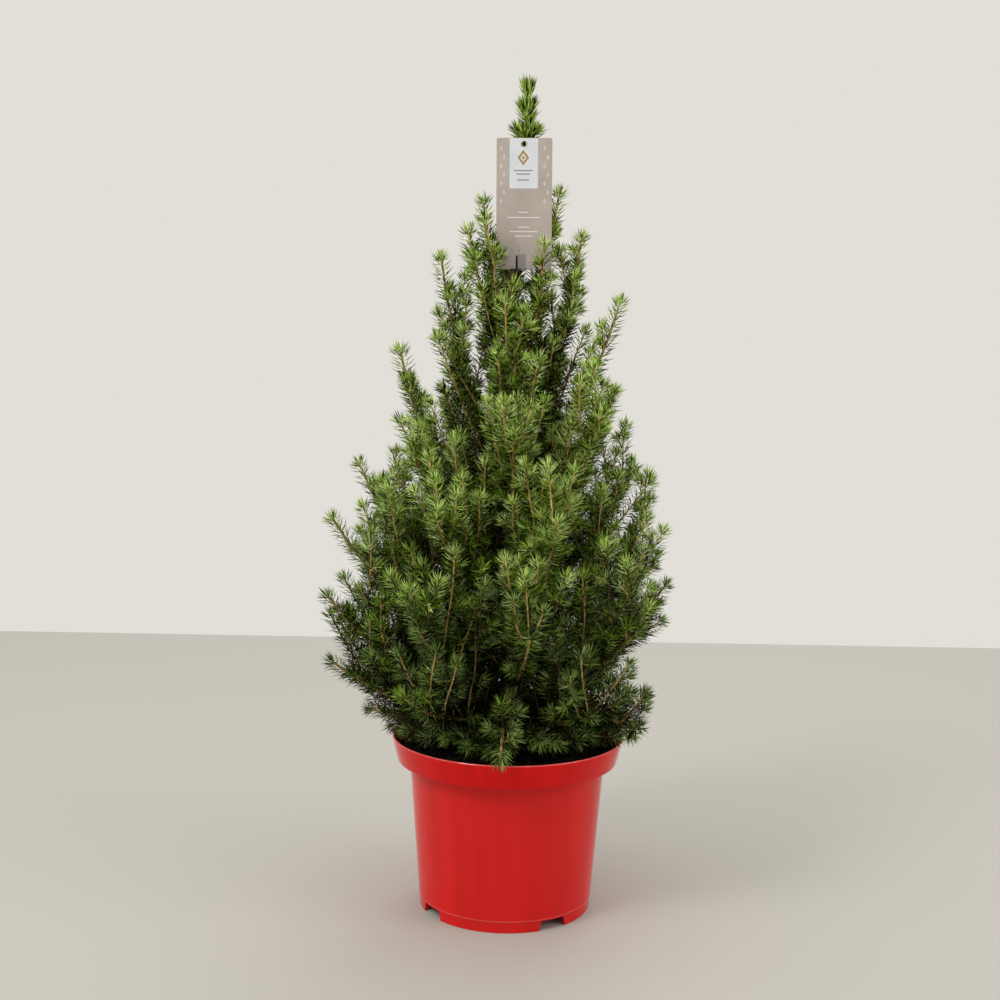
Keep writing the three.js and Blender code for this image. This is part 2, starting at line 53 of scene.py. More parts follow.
# The pot
POT_HEIGHT = 0.1425
POT_SEGMENTS = 192
WALL = 0.0015
RIM_TOP_RADIUS = 0.095
RIM_FOOT_RADIUS = 0.0907
RIM_BAND = 0.020
RIM_ROUNDING = 0.0012
BODY_TOP_RADIUS = 0.0806
BODY_FOOT_RADIUS = 0.071
RIDGE_HEIGHT = 0.0095
RIDGE_STEP = 0.0005
FLOOR_HEIGHT = 0.0095
FOOT_RING_WIDTH = 0.004
NOTCH_COUNT = 4
NOTCH_FIRST_DEG = 213
NOTCH_HEIGHT = 0.008
NOTCH_FOOT_WIDTH = 0.025
NOTCH_TOP_WIDTH = 0.020
NOTCH_CORNER = 0.001
NOTCH_CUT = 0.015  # how far the cut goes in and out from the foot
SHARP_EDGE_DEG = 40

# The colours of its plastic by height: pale on the ridge of the foot and on the lip, a painted highlight
# The body is pinker than the rim: painted reflection of the pale floor and sky
BODY_RED = (0.66, 0.012, 0.0105)
RIM_RED = (0.66, 0.001, 0.001)
# A painted highlight: the pale line on the lip and on the ridge of the foot
HIGHLIGHT_RED = (0.80, 0.11, 0.10)
POT_BANDS = [(0.0002, BODY_RED), (0.0088, BODY_RED), (0.0095, HIGHLIGHT_RED), (0.0102, BODY_RED),
             (0.1215, BODY_RED), (0.1235, RIM_RED), (0.1412, RIM_RED), (0.1422, HIGHLIGHT_RED)]

# The peat
SOIL_TOP = 0.130
PEAT_SEGMENTS = 160
PEAT_RINGS = 58  # on its top
PEAT_RELIEF = 0.0016
PEAT_DROP = 0.0015  # how far the middle of that relief lies below the peat's top
CRUMB_COUNT = 1100
CRUMB_SIZES = (0.0007, 0.0018)  # the smallest, and what the largest have more
CRUMB_FREE = 0.018  # no crumbs this near to the trunk's middle

# The trunk
TRUNK_FOOT = SOIL_TOP + GAP
TRUNK_TOP = 0.596
TRUNK_FOOT_RADIUS = 0.0085
TRUNK_TOP_RADIUS = 0.0015
FLARE = 0.0045
FLARE_DEPTH = 0.009
BEND = -0.007
BEND_HEIGHT = 0.478
BEND_SPAN = 0.060
LEAN = 0.0068
LEAN_FROM = 0.490
LEAN_TO = 0.565
SWAY = 0.0025
SWAY_LENGTH = 0.070
TOP_HEIGHT = 0.672
TRUNK_SEGMENTS = 28
TRUNK_RINGS = 330
TRUNK_ROUGHNESS = 0.09  # of its radius
LIMB_ROUGHNESS = 0.12
LIMB_RING_STEP = 0.0025
OLD_WOOD = 0.5  # the share of a limb with old bark

# The card label
CARD_WIDTH = 0.0436
CARD_HEIGHT = 0.102
CARD_THICKNESS = 0.0006
CARD_MIDDLE = np.array([0.0055, -0.010, 0.572])
CARD_TILT = 0.012
CARD_CORNER = 0.0012
EYELET_RADIUS = 0.0022
EYELET_DROP = 0.0046
SLOT_WIDTH = 0.0018
SLOT_HEIGHT = 0.011
SLOT_OFFSET = -0.0056
COLLAR_HEIGHT = 0.007
COLLAR_WALL = 0.0012
COLLAR_SLACK = 0.0009
COLLAR_SEGMENTS = 48
PRINT = 0.0001  # the thickness of what is printed on the card
OPEN_FACE = 0.549  # above this height no shoot hides the front of the card

# The limbs, as in the plant's source
FIRST_SEED = 101
LIMB_STEPS = 12
LIMB_END_RADIUS = 0.0009
TIP_NEEDLE = 0.008
SHOOT_STEP = 0.007
SHOOT_SPREAD = 0.82
SPREAD_RANGE = 0.3
SHOOT_END = 0.62  # the last side shoots of a limb, as a share of its longest
SHOOT_RISE = 0.25
SHOOT_RADIUS = 0.0015
FIT_STEP = 0.003
OUT = 0.62  # where a limb bends, as a share of its reach
RISE = 0.24  # and of its height
CROWN_FOOT = 0.150
CROWN_FOOT_RADIUS = 0.112
CROWN_WIDEST = 0.240
CROWN_RADIUS = 0.150
CROWN_TAPER = 0.9

# The shoots that go on from them here
CLEARANCE = 0.001  # between the growth and the pot, the peat, the label and the trunk
MINGLE = 0.020  # how far a shoot may reach past the middle between two limbs
TIP_SPACINGS = (0.0145, 0.0190)  # between the tips of neighbouring shoots, low and high on the plant
SHORTENED = (1, 0.85, 0.7, 0.55)  # the shares of its length that a crowded shoot may keep
SHORTEST_SHOOT = 0.012
FEWEST_POINTS = 4  # of a shoot that is cut short
SIDE_RADII = (0.0006, LIMB_END_RADIUS * 0.65)  # at the start and end of a side shoot
SIDE_BARE = 0.002  # the length of its start without needles
SHOOT_SWAY = 0.0013
SWAY_STEP = 0.011
SWAY_PHASE = 40  # by the shoot's length
STEM_SIDES = 5
SPUR_STEP = 0.0105
SPUR_FROM = 0.016
SPUR_END = 0.006  # no spurs this near to a tip
SPUR = 0.0125
SPUR_SPREAD = 0.85
SPUR_RISE = 0.2
SPUR_PARTING = 0.55  # the cosine of the angle from the outer side that has no spurs
SPUR_RADII = (0.0008, 0.0006)
SPUR_SIDES = 4
INNER_FROM = 0.1  # the share of a limb where its inner shoots start
INNER_STEP = 0.005
INNER_SIZE = 0.6  # of the longest side shoots
OPEN_SHARE = 0.62  # of the crown's radius: shoots that end nearer to the trunk are in the shade
TRUNK_SHOOT_FROM = SOIL_TOP + 0.009
TRUNK_SHOOT_STEP = 0.0036
ANGLE_SPREAD = 0.6
TRUNK_SHOOT = 0.9  # of the crown's radius where it starts
TRUNK_SHOOT_RISE = 0.3
TRUNK_SHOOT_RADII = (0.0011, 0.0006)
TRUNK_SHOOT_BARE = 0.004
SKIRT_TOP = 0.180  # the lowest shoots of the trunk spread out over the peat
SKIRT_REACH = 0.092
SKIRT_RISE = (0.003, 0.014)  # above the rim
SKIRT_SIZES = (0.9, 1.1)
SKIRT_FRONT = -0.45
SKIRT_FRONT_SIZES = (0.72, 0.88)  # shorter over the peat in front
SKIRT_SHARE = 0.18  # of the step up the trunk to the next shoot
FLAT_TOP = 0.250  # above this the shoots of the trunk are steep
FLAT_RISES = (0.4, 1.0)
STEEP_RISES = (0.9, 1.8)
TRUNK_SHOOT_TOP = 0.40
LIT_SHARE = 0.2  # of the low shoots near the trunk: some light reaches these
FRONT_LIT_SHARE = 0.75  # and these of the lowest ones in front
TOP_SHOOT_FROM = 0.492  # behind the label the trunk carries short shoots and needles of its own
TOP_SHOOT_STEP = 0.0085
TOP_SHOOT = 0.020
SHORT_SHOOT_RADII = (0.0009, 0.0006)
DRY_SHARE = 0.35  # of the lowest shoots this way are dry
DRY_WAY = np.array([-0.87, -0.5, 0])
DRY_SPREAD = 0.85  # the cosine of the widest angle from it

# The needles
NEEDLE_STEP = 0.00052
SHADE_STEP = 0.00075  # between needles in the shade
NEEDLE = 0.0118
SUNNY_ZONE = (0.18, 0.42)  # between these heights the tints change to the lighter ones of the upper crown: painted light
COARSE_ZONE = (0.28, 0.46)  # and here the needles do
NEEDLE_HALF_WIDTHS = (0.00047, 0.00063)  # low on the plant and high up
STEP_SIZES = (0.76, 1.0)  # the steps between needles there
NEEDLE_KEEL = 0.5  # a needle's depth, as a share of its half width
NEEDLE_WIDEST = 0.42
NEEDLE_BEND = 0.09  # how far its middle lies below a straight needle, as a share of its length
NEEDLE_SIZES = (0.82, 1.06)
TIP_SIZE = 0.86
TIP_ZONE = 0.013
LIGHT_ZONE = 0.010  # the needles this near to a tip are the lightest
BODY_ZONE = 0.024  # and those beyond this are the darkest, painted shade deeper in the crown
TUFT = 30  # needles on the last few millimetres of a shoot
SHADE_TUFT = 10
TUFT_DEPTH = 0.004
PARTING = 0.85
DROOP_PARTING = 0.15  # of a limb that droops
BODY_LEAN = 1.12
END_LEAN = 0.84
TURN_SPREAD = 0.25
LEAN_SPREAD = 0.14
DARK_STEM_SHARE = 0.55  # of the stems low on the plant, dark as painted shade
MOST_NEEDLES = 49000  # in one piece

# A ring of short shoots on the leading shoot: share of its length, size, number and first turn
LEADER_RING = (0.28, 0.014, 5, 0.3)
RING_LEAN = 0.8
# The shares of its length with needles, and their lean and size there
LEADER_FLUSHES = [(0.02, 0.46, 1.0, 1.2), (0.55, 0.77, 0.92, 1.35), (0.83, 0.955, 0.52, 1.55)]
LEADER_SCALES = [0.52, 0.80]  # where it has bud scales
LEADER_END = 0.955  # its stem ends below its longer needles

# The tiers of limbs from the lowest up. The turns are the headings of their limbs in degrees.
TIER_VALUES = ("foot", "spread", "reach", "tip", "radius", "bare", "lift", "side", "turn_up", "turns")
TIERS = {
    "a": (0.146, 0.018, 0.121, 0.186, 0.0028, 0.35, 0.006, 0.074, 0.85,
          (183, 204, 236, 267, 303, 345, 45, 110)),
    "b": (0.168, 0.026, 0.141, 0.256, 0.0029, 0.35, 0.010, 0.090, 1.20, (204, 240, 276, 315, 31, 85, 140)),
    "c": (0.208, 0.044, 0.122, 0.340, 0.0027, 0.28, 0.016, 0.090, 1.60, (199, 169, 241, 286, 350, 21, 92)),
    "d": (0.268, 0.050, 0.094, 0.420, 0.0024, 0.28, 0.020, 0.064, 1.60, (180, 217, 270, 318, 13, 65, 128)),
    "e": (0.345, 0.056, 0.060, 0.515, 0.0020, 0.24, 0.018, 0.046, 1.40, (184, 232, 311, 353, 8, 95, 270)),
    "f": (0.452, 0.040, 0.030, 0.580, 0.0015, 0.2, 0.008, 0.024, 1.20, (172, 8, 95, 206)),
}
# The reach and tip of the limbs that make the outline, and what else differs from their tier
SPIRES = {
    "a1": (0.121, 0.165, {}),
    "a2": (0.157, 0.219, {}),
    "a4": (0.111, 0.143, dict(crest=0.194, out=0.72, side=0.020)),
    "a6": (0.109, 0.143, dict(crest=0.178, out=0.72, side=0.042)),
    "b1": (0.160, 0.272, {}),
    "b5": (0.163, 0.228, {}),
    "c1": (0.152, 0.331, {}),
    "c2": (0.133, 0.370, dict(side=0.062)),
    "c5": (0.122, 0.293, {}),
    "c6": (0.113, 0.368, dict(side=0.070)),
    "d1": (0.094, 0.464, dict(side=0.036)),
    "d2": (0.102, 0.388, {}),
    "d3": (0.090, 0.398, {}),
    "d5": (0.088, 0.433, dict(side=0.042)),
    "e1": (0.061, 0.537, {}),
    "e2": (0.029, 0.544, dict(foot=0.420, out=0.8)),
    "e3": (0.034, 0.549, dict(foot=0.430, out=0.8)),
    "e4": (0.086, 0.504, dict(side=0.024)),
    "e5": (0.054, 0.556, {}),
    "e7": (0.046, 0.476, {}),
    "f1": (0.028, 0.583, {}),
    "f2": (0.035, 0.590, {}),
    "f4": (0.044, 0.558, {}),
}

# The colours of needles, from the sunniest to those in the shade, and how much each shines.
# Pale is a painted highlight, shade is painted shade, and deep is partly painted shade.
TINTS = {
    "pale": (0.630, 0.760, 0.260, 0.9),
    "tip": (0.380, 0.560, 0.080, 0.8),
    "fresh": (0.202, 0.332, 0.018, 0.6),
    "green": (0.087, 0.162, 0.003, 0.4),
    "deep": (0.030, 0.057, 0.001, 0.2),
    "shade": (0.006, 0.008, 0.001, 0.02),
    "dry": (0.140, 0.120, 0.045, 0.1),
}
COOL_ZONE = (0.14, 0.36)  # between these heights the cooler tints give way to the warmer ones
COOLING = (0.91, 0.85, 0.09)  # what is left of red and green in the cooler ones, darker as painted shade, and the green added to blue
# The shares of needles that are one tint lighter than their shoot, as it is, and darker by one to three,
# low on the plant and high up
# More needles go lighter high up: painted light there
STRAYS = [-1, 0, 1, 2, 3]
STRAY_SHARES = np.array([[0.21, 0.28, 0.23, 0.19, 0.09], [0.36, 0.24, 0.11, 0.14, 0.15]])

# The stage
FLOOR_REACH = 12.0
FLOOR_BACK = 1.08  # where the floor meets the plain pale background
# The colour of the sky by the height of its direction, from level with the ground to straight up
SKY = [(0.001, (0.76, 0.735, 0.685)), (0.28, (0.76, 0.735, 0.685)), (0.42, (0.45, 0.45, 0.44)),
       (0.75, (0.85, 0.85, 0.83)), (0.999, (1.75, 1.75, 1.7))]
# Each light's name, place, width, power and, for the upright panels, height
LIGHTS = [
    ("key", (-1.3, -1.3, 2.0), 0.8, 24.5, None),
    ("fill", (1.7, -1.0, 1.2), 0.8, 5, None),
    ("back", (0.6, 1.7, 1.9), 1.4, 10, None),
    ("left_panel", (-1.5, -0.5, 0.90), 0.30, 3.4, 1.3),
    ("right_panel", (1.5, -0.45, 0.90), 0.22, 4, 1.3),
]
LIGHTS_AIM = 0.3
# The photograph's view, from a fit to the pot's rim and foot
CAMERA_PLACE = (-0.0095, -1.1366, 0.4529)
CAMERA_DOWN_DEG = 5.873
CAMERA_ROLL_DEG = 0.996
LENS_MM = 50.589


def lerp(low, high, share):
    return low + (high - low) * share


def smoothstep(low, high, value):
    share = np.clip((value - low) / (high - low), 0, 1)
    return share * share * (3 - 2 * share)


def seeded(seed):
    """Numbers from 0 to 1, the same ones as the plant's source draws."""
    mask = 0xFFFFFFFF
    state = seed & mask

    def draw():
        nonlocal state
        state = (state + 0x6D2B79F5) & mask
        mixed = ((state ^ (state >> 15)) * (state | 1)) & mask
        mixed ^= (mixed + (((mixed ^ (mixed >> 7)) * (mixed | 61)) & mask)) & mask
        return (mixed ^ (mixed >> 14)) / 4294967296

    return draw


# Directions
def unit(vectors):
    return vectors / np.linalg.norm(vectors, axis=-1, keepdims=True)


def level(angles):
    """Level unit vectors that way"""
    return np.stack([np.cos(angles), np.sin(angles), 0 * angles], -1)


def all_round(sides):
    return np.arange(sides) * TURN / sides


def across(ahead, aside):
    """Two unit vectors across each direction, the first as near as can be to aside."""
    first = unit(aside - ahead * np.sum(ahead * aside, axis=-1, keepdims=True))
    return first, np.cross(ahead, first)


def turned(ahead, aside, angles):
    """Unit vectors across each direction, at these angles from aside"""
    first, second = across(ahead, aside)
    return first * np.cos(angles)[..., None] + second * np.sin(angles)[..., None]


def level_reach(points):
    """How far points are from the upright axis"""
    return np.hypot(points[..., 0], points[..., 1])


def outer_side(outward):
    """The side that a limb shows outwards and down, which its needles leave bare"""
    return outward * 0.8 - UP * 0.6


# Materials
def shader(name, colour, roughness, specular=0.5, metallic=0.0):
    """A material with one Principled shader"""
    material = bpy.data.materials.new(name)
    material.use_nodes = True
    node = material.node_tree.nodes["Principled BSDF"]
    node.inputs["Base Color"].default_value = (*colour, 1)
    node.inputs["Roughness"].default_value = roughness
    node.inputs["Specular IOR Level"].default_value = specular
    node.inputs["Metallic"].default_value = metallic
    return material


def add_nodes(tree, *kinds):
    return [tree.nodes.new("ShaderNode" + kind) for kind in kinds]


def noise_in(tree, scale, stretch, detail):
    """The output of a noise in the object's own space"""
    place, mapping, pattern = add_nodes(tree, "TexCoord", "Mapping", "TexNoise")
    mapping.inputs["Scale"].default_value = stretch
    pattern.inputs["Scale"].default_value = scale
    pattern.inputs["Detail"].default_value = detail
    tree.links.new(place.outputs["Object"], mapping.inputs["Vector"])
    tree.links.new(mapping.outputs["Vector"], pattern.inputs["Vector"])
    return pattern.outputs["Fac"]


def height_in(tree, space):
    """The output of the height in a space, or of a direction's height"""
    place, parts = add_nodes(tree, "TexCoord", "SeparateXYZ")
    tree.links.new(place.outputs[space], parts.inputs["Vector"])
    return parts.outputs["Z"]


def ramp_in(tree, share, stops):
    """The output of a ramp of colours by share. Each stop is a position and a colour."""
    ramp = tree.nodes.new("ShaderNodeValToRGB")
    elements = ramp.color_ramp.elements
    for position, colour in stops:
        element = elements.new(position)
        element.color = (*colour, 1)
    elements.remove(elements[-1])
    elements.remove(elements[0])
    tree.links.new(share, ramp.inputs["Fac"])
    return ramp.outputs["Color"]


def mottle(material, dark, light, scale, stretch=(1, 1, 1), detail=4.0):
    """Base colour from dark to light by a noise"""
    tree = material.node_tree
    pattern = noise_in(tree, scale, stretch, detail)
    colour = ramp_in(tree, pattern, [(0.3, dark), (0.7, light)])
    tree.links.new(colour, tree.nodes["Principled BSDF"].inputs["Base Color"])


def relief(material, strength, distance, scale, stretch, detail=4.0):
    """Fine bumps by a noise"""
    tree = material.node_tree
    bump = tree.nodes.new("ShaderNodeBump")
    bump.inputs["Strength"].default_value = strength
    bump.inputs["Distance"].default_value = distance
    tree.links.new(noise_in(tree, scale, stretch, detail), bump.inputs["Height"])
    tree.links.new(bump.outputs["Normal"], tree.nodes["Principled BSDF"].inputs["Normal"])


def banded(material, bands, height):
    """Multiplies the base colour by one that changes with the height above the ground."""
    tree = material.node_tree
    base = tree.nodes["Principled BSDF"].inputs["Base Color"]
    share, mix = add_nodes(tree, "Math", "Mix")
    share.operation = "DIVIDE"
    share.inputs[1].default_value = height
    tree.links.new(height_in(tree, "Object"), share.inputs[0])
    stops = [(place / height, colour) for place, colour in bands]
    mix.data_type = "RGBA"
    mix.blend_type = "MULTIPLY"
    mix.inputs["Factor"].default_value = 1
    band, plain = [socket for socket in mix.inputs if socket.type == "RGBA"]
    tree.links.new(ramp_in(tree, share.outputs["Value"], stops), band)
    tree.links.new(base.links[0].from_socket, plain)
    tree.links.new([socket for socket in mix.outputs if socket.type == "RGBA"][0], base)


# Meshes
def add(name, data):
    """An object with this data, in the scene"""
    thing = bpy.data.objects.new(name, data)
    bpy.context.scene.collection.objects.link(thing)
    return thing


def placed(name, mesh, material, slot):
    """A piece of the plant from a mesh"""
    mesh.materials.clear()
    mesh.materials.append(material)
    thing = add(name, mesh)
    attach(thing, "root")
    return thing


def piece(name, points, faces, material, slot, smooth=False):
    """A piece from an array of points and an array of faces with the same number of corners"""
    faces = np.asarray(faces, np.int32)
    mesh = bpy.data.meshes.new(name)
    mesh.vertices.add(len(points))
    mesh.vertices.foreach_set("co", np.asarray(points, np.float32).ravel())
    mesh.loops.add(faces.size)
    mesh.loops.foreach_set("vertex_index", faces.ravel())
    mesh.polygons.add(len(faces))
    mesh.polygons.foreach_set("loop_start", np.arange(len(faces), dtype=np.int32) * faces.shape[1])
    mesh.polygons.foreach_set("use_smooth", np.full(len(faces), smooth))
    mesh.update(calc_edges=True)
    mesh.validate()
    return placed(name, mesh, material, slot)


def joined(shapes):
    """The points and faces of many small shapes, as one"""
    points, faces = zip(*shapes)
    firsts = np.cumsum([0] + [len(some) for some in points])
    return np.concatenate(points), np.concatenate([some + first for some, first in zip(faces, firsts)])


def lathe(outline, sides, middle=(0, 0, 0)):
    """Rings of points round an upright axis, from an outline of radii and heights"""
    radii, heights = np.array(outline, float).T[..., None, None]
    return middle + level(all_round(sides)) * radii + UP * heights


def ring_faces(rings, sides, joined=False):
    """Quads between neighbouring rings of points, and from the last to the first if joined"""
    ring = np.arange(rings if joined else rings - 1)[:, None]
    following = (ring + 1) % rings * sides
    ring = ring * sides
    j = np.arange(sides)
    k = (j + 1) % sides
    return np.stack([ring + j, ring + k, following + k, following + j], -1).reshape(-1, 4)


def capped(name, rings):
    """A mesh of rings of points, with a flat face at each end"""
    count, sides = rings.shape[:2]
    ends = [list(range(sides))[::-1], list(range((count - 1) * sides, count * sides))]
    mesh = bpy.data.meshes.new(name)
    mesh.from_pydata(rings.reshape(-1, 3).tolist(), [], ring_faces(count, sides).tolist() + ends)
    return mesh


def pointed(rings, ends):
    """Points and triangles of rings of points, closed towards one point at each end"""
    count, sides = rings.shape[:2]
    quads = ring_faces(count, sides)
    j = np.arange(sides)
    k = (j + 1) % sides
    last = (count - 1) * sides
    end = np.full(sides, count * sides)
    caps = [np.stack([end, k, j], -1), np.stack([end + 1, last + j, last + k], -1)]
    return np.vstack([rings.reshape(-1, 3), ends]), np.concatenate([quads[:, :3], quads[:, [0, 2, 3]], *caps])


def tube(line, radii, sides, aside):
    """Points and triangles of a tapering tube along a line. It ends in a point."""
    ahead = unit(np.gradient(line, axis=0))
    ring = turned(ahead[:, None], aside, all_round(sides))
    ends = [line[0], line[-1] + ahead[-1] * radii[-1]]
    return pointed(line[:, None] + ring * radii[:, None, None], ends)


def final_mesh(thing):
    """The mesh that an object's modifier or curve makes"""
    bpy.context.view_layer.update()
    shaped = thing.evaluated_get(bpy.context.evaluated_depsgraph_get())
    return bpy.data.meshes.new_from_object(shaped)


# The trunk's centre line and radius at a height
def trunk_axis(height):
    height = np.asarray(height, float)
    bow = BEND * np.exp(-(((height - BEND_HEIGHT) / BEND_SPAN) ** 2))
    lean = LEAN * smoothstep(LEAN_FROM, LEAN_TO, height)
    sway = SWAY * np.sin((height - TRUNK_FOOT) / SWAY_LENGTH)
    return np.stack([bow + lean, sway, height], axis=-1)


def trunk_radius(height):
    share = np.maximum(0, (height - TRUNK_FOOT) / (TRUNK_TOP - TRUNK_FOOT))
    taper = lerp(TRUNK_FOOT_RADIUS, TRUNK_TOP_RADIUS, share ** 0.85)
    return taper + FLARE * np.exp(-(height - TRUNK_FOOT) / FLARE_DEPTH)


def on_trunk(height, outward):
    return trunk_axis(height) + outward * float(trunk_radius(height))


# Limbs
@dataclass
class Limb:
    name: str
    outward: np.ndarray
    corners: tuple  # the start, bend and end of its curve
    radius: float
    bare: float  # the share of it without side shoots, at its start
    side: float  # the length of its longest side shoots
    lift: float  # of the line that divides its room from its neighbours'
    turn_up: float  # of its side shoots

    def __post_init__(self):
        self.outer = outer_side(self.outward)
        line = self.point(np.linspace(0, 1, 201))
        self.length = np.linalg.norm(np.diff(line, axis=0), axis=1).sum()
        steps = np.linspace(0, 1, LIMB_STEPS + 1)
        self.space_line = self.point(steps) + UP * (self.lift * smoothstep(0, 0.6, steps))[:, None]

    def point(self, share):
        start, bend, end = self.corners
        share = np.asarray(share, float)[..., None]
        rest = 1 - share
        return start * rest ** 2 + bend * 2 * rest * share + end * share ** 2

    def ahead(self, share):
        start, bend, end = self.corners
        return unit((bend - start) * (1 - share) + (end - bend) * share)

    def radius_at(self, share):
        return lerp(self.radius, LIMB_END_RADIUS, share ** 0.8)


def limb_of(tier, index):
    name = tier + str(index + 1)
    shape = dict(zip(TIER_VALUES, TIERS[tier]), out=OUT)
    shape["foot"] += shape["spread"] * ((index * 0.382) % 1)
    reach, tip_height, others = SPIRES.get(name, (shape["reach"], shape["tip"], {}))
    shape.update(others)
    foot = shape["foot"]
    outward = level(math.radians(shape["turns"][index]))
    start = trunk_axis(foot) + outward * (trunk_radius(foot - shape["radius"]) + GAP)
    bend = outward * reach * shape["out"] + UP * shape.get("crest", lerp(foot, tip_height, RISE))
    tip = outward * reach + UP * tip_height
    end = tip - unit(tip - bend) * TIP_NEEDLE
    rest = [shape[key] for key in ("radius", "bare", "side", "lift", "turn_up")]
    return Limb(name, outward, (start, bend, end), *rest)


def leader_limb():
    start = trunk_axis(TRUNK_TOP + GAP)
    end = trunk_axis(TOP_HEIGHT) - UP * TIP_NEEDLE
    return Limb("leader", level(0.0), (start, (start + end) / 2, end), TRUNK_TOP_RADIUS, 0.1, 0.020, 0, 0.4)


limbs = [limb_of(tier, i) for tier, values in TIERS.items() for i in range(len(values[-1]))]
limbs.append(leader_limb())


# The room for growth
def distance_to_line(points, line):
    """From each point to a line of straight pieces"""
    foot = line[:-1]
    step = line[1:] - foot
    offset = points[:, None, :] - foot
    share = np.clip((offset * step).sum(-1) / (step * step).sum(-1), 0, 1)
    return np.linalg.norm(offset - step * share[..., None], axis=-1).min(axis=1)


def inner_rim(height):
    share = (height - POT_HEIGHT + RIM_BAND) / RIM_BAND
    return lerp(RIM_FOOT_RADIUS, RIM_TOP_RADIUS, share) - WALL


def inner_wall(height):
    share = height / (POT_HEIGHT - RIM_BAND)
    return lerp(BODY_FOOT_RADIUS, BODY_TOP_RADIUS, share) - WALL


def clear_of_things(points, pad):
    """The label, the pot and the peat are out of bounds to every twig and needle."""
    radius = level_reach(points)
    height = points[:, 2]
    half = np.array([CARD_WIDTH + 2 * CLEARANCE, CARD_THICKNESS, CARD_HEIGHT + CLEARANCE]) / 2
    from_middle = np.abs(points - CARD_MIDDLE)
    beside_card = np.linalg.norm(np.maximum(from_middle - half, 0), axis=1)
    outside_rim = radius > RIM_TOP_RADIUS + CLEARANCE + pad
    inside_rim = radius < inner_rim(SOIL_TOP) - CLEARANCE - pad
    low = height < SOIL_TOP + CLEARANCE + pad
    high = height > POT_HEIGHT + CLEARANCE + pad
    clear = np.where(low, outside_rim, high | inside_rim | outside_rim)
    before_card = (from_middle[:, 0] < CARD_WIDTH / 2) & (points[:, 1] < CARD_MIDDLE[1])
    return clear & (beside_card >= CLEARANCE + pad) & ~(before_card & (height > OPEN_FACE - pad))


def clear_of_trunk(points, pad):
    height = points[:, 2]
    near_collar = np.abs(height - (CARD_MIDDLE[2] - CARD_HEIGHT / 2)) < 2 * COLLAR_HEIGHT
    clearance = np.where(near_collar, 2 * CLEARANCE + COLLAR_WALL, CLEARANCE)
    apart = level_reach(points - trunk_axis(height))
    return (height > TRUNK_TOP + 5 * CLEARANCE) | (apart > trunk_radius(height) + clearance + pad)


def in_space(points, limb):
    """Nearer to a limb than to any other one, give or take some mingling"""
    own = distance_to_line(points, limb.space_line)
    inside = np.ones(len(points), bool)
    for other in limbs:
        if other is not limb:
            inside &= distance_to_line(points, other.space_line) > own - 2 * MINGLE
    return inside


def crown_radius(height):
    low = smoothstep(CROWN_FOOT, CROWN_WIDEST, height)
    high = np.clip((TOP_HEIGHT - height) / (TOP_HEIGHT - CROWN_WIDEST), 0, 1)
    return lerp(CROWN_FOOT_RADIUS, CROWN_RADIUS, low) * high ** CROWN_TAPER


def fits(points):
    """Clear of everything and inside the crown"""
    clear = clear_of_things(points, SHOOT_RADIUS) & clear_of_trunk(points, SHOOT_RADIUS)
    return clear & (level_reach(points) < crown_radius(points[:, 2]))


def first_allowed(allowed):
    """How many of the first points are allowed. The very first always is."""
    allowed[0] = True
    return len(allowed) if allowed.all() else int(np.argmin(allowed))


# Shoots: the ends of limbs, the side shoots along them and the twigs along those
@dataclass
class Shoot:
    line: np.ndarray  # points along its middle
    radii: np.ndarray
    outer: np.ndarray  # the side that its needles leave bare
    needles_from: float = 0.001  # the length without needles at its start
    sides: int = 0  # of its stem. A limb's is drawn with the wood.
    parting: float = PARTING
    step: float = NEEDLE_STEP
    tuft: int = TUFT
    lean: float = BODY_LEAN
    size: float = 1.0  # of its needles
    inner: bool = False
    old: bool = False  # a low shoot of the trunk, with a dark stem: old bark, and painted shade
    dry: bool = False

    def __post_init__(self):
        steps = np.linalg.norm(np.diff(self.line, axis=0), axis=1)
        self.places = np.concatenate([[0], np.cumsum(steps)])
        self.length = self.places[-1]

    def cut(self, count):
        """The same shoot with only its first points"""
        return replace(self, line=self.line[:count], radii=self.radii[:count])

    def point(self, distance):
        return np.stack([np.interp(distance, self.places, column) for column in self.line.T], -1)

    def ahead(self, distance):
        step = 0.002
        before = np.clip(distance - step, 0, self.length - step)
        return unit(self.point(before + step) - self.point(before))

    def radius(self, distance):
        return np.interp(distance, self.places, self.radii)


def curve_up(start, heading, size, distances, rise=0.0):
    """Points at distances from start along a heading. The last one is higher by rise times size."""
    return start + heading * distances[:, None] + UP * (rise * distances ** 2 / size)[:, None]


def limb_shoot(limb, end=1.0):
    """The part of a limb that carries needles"""
    shares = np.linspace(0, end, 2 + int(limb.length / 0.004))
    return Shoot(limb.point(shares), limb.radius_at(shares), limb.outer, limb.bare * limb.length)


def branched(ahead, outer, angle, spread, rise):
    """A side shoot's heading: spread out from ahead at an angle from the outer side, and turned up"""
    sideways = turned(ahead, outer, angle)
    return unit(ahead * math.cos(spread) + sideways * math.sin(spread) + UP * rise)


def grown(start, heading, size, limb, near_limb=True):
    """A shoot from start that curves up, cut short where it would leave its room, or none at all"""
    distances = np.arange(0, size, FIT_STEP)
    aside = unit(np.array([-heading[1], heading[0], 0.0]) + 1e-6)
    phase = SWAY_PHASE * size
    sway = SHOOT_SWAY * (np.sin(distances / SWAY_STEP + phase) - math.sin(phase))
    line = curve_up(start, heading, size, distances, SHOOT_RISE) + aside * sway[:, None]
    allowed = fits(line)
    if near_limb:
        allowed &= in_space(line, limb)
    room = first_allowed(allowed)
    if (room - 1) * FIT_STEP < SHORTEST_SHOOT:
        return
    away = line[room - 1] * [1, 1, 0]
    outer = away / max(0.001, np.linalg.norm(away)) * 0.85 - UP * 0.5
    yield Shoot(line[:room], np.linspace(*SIDE_RADII, room), outer, SIDE_BARE, STEM_SIDES)


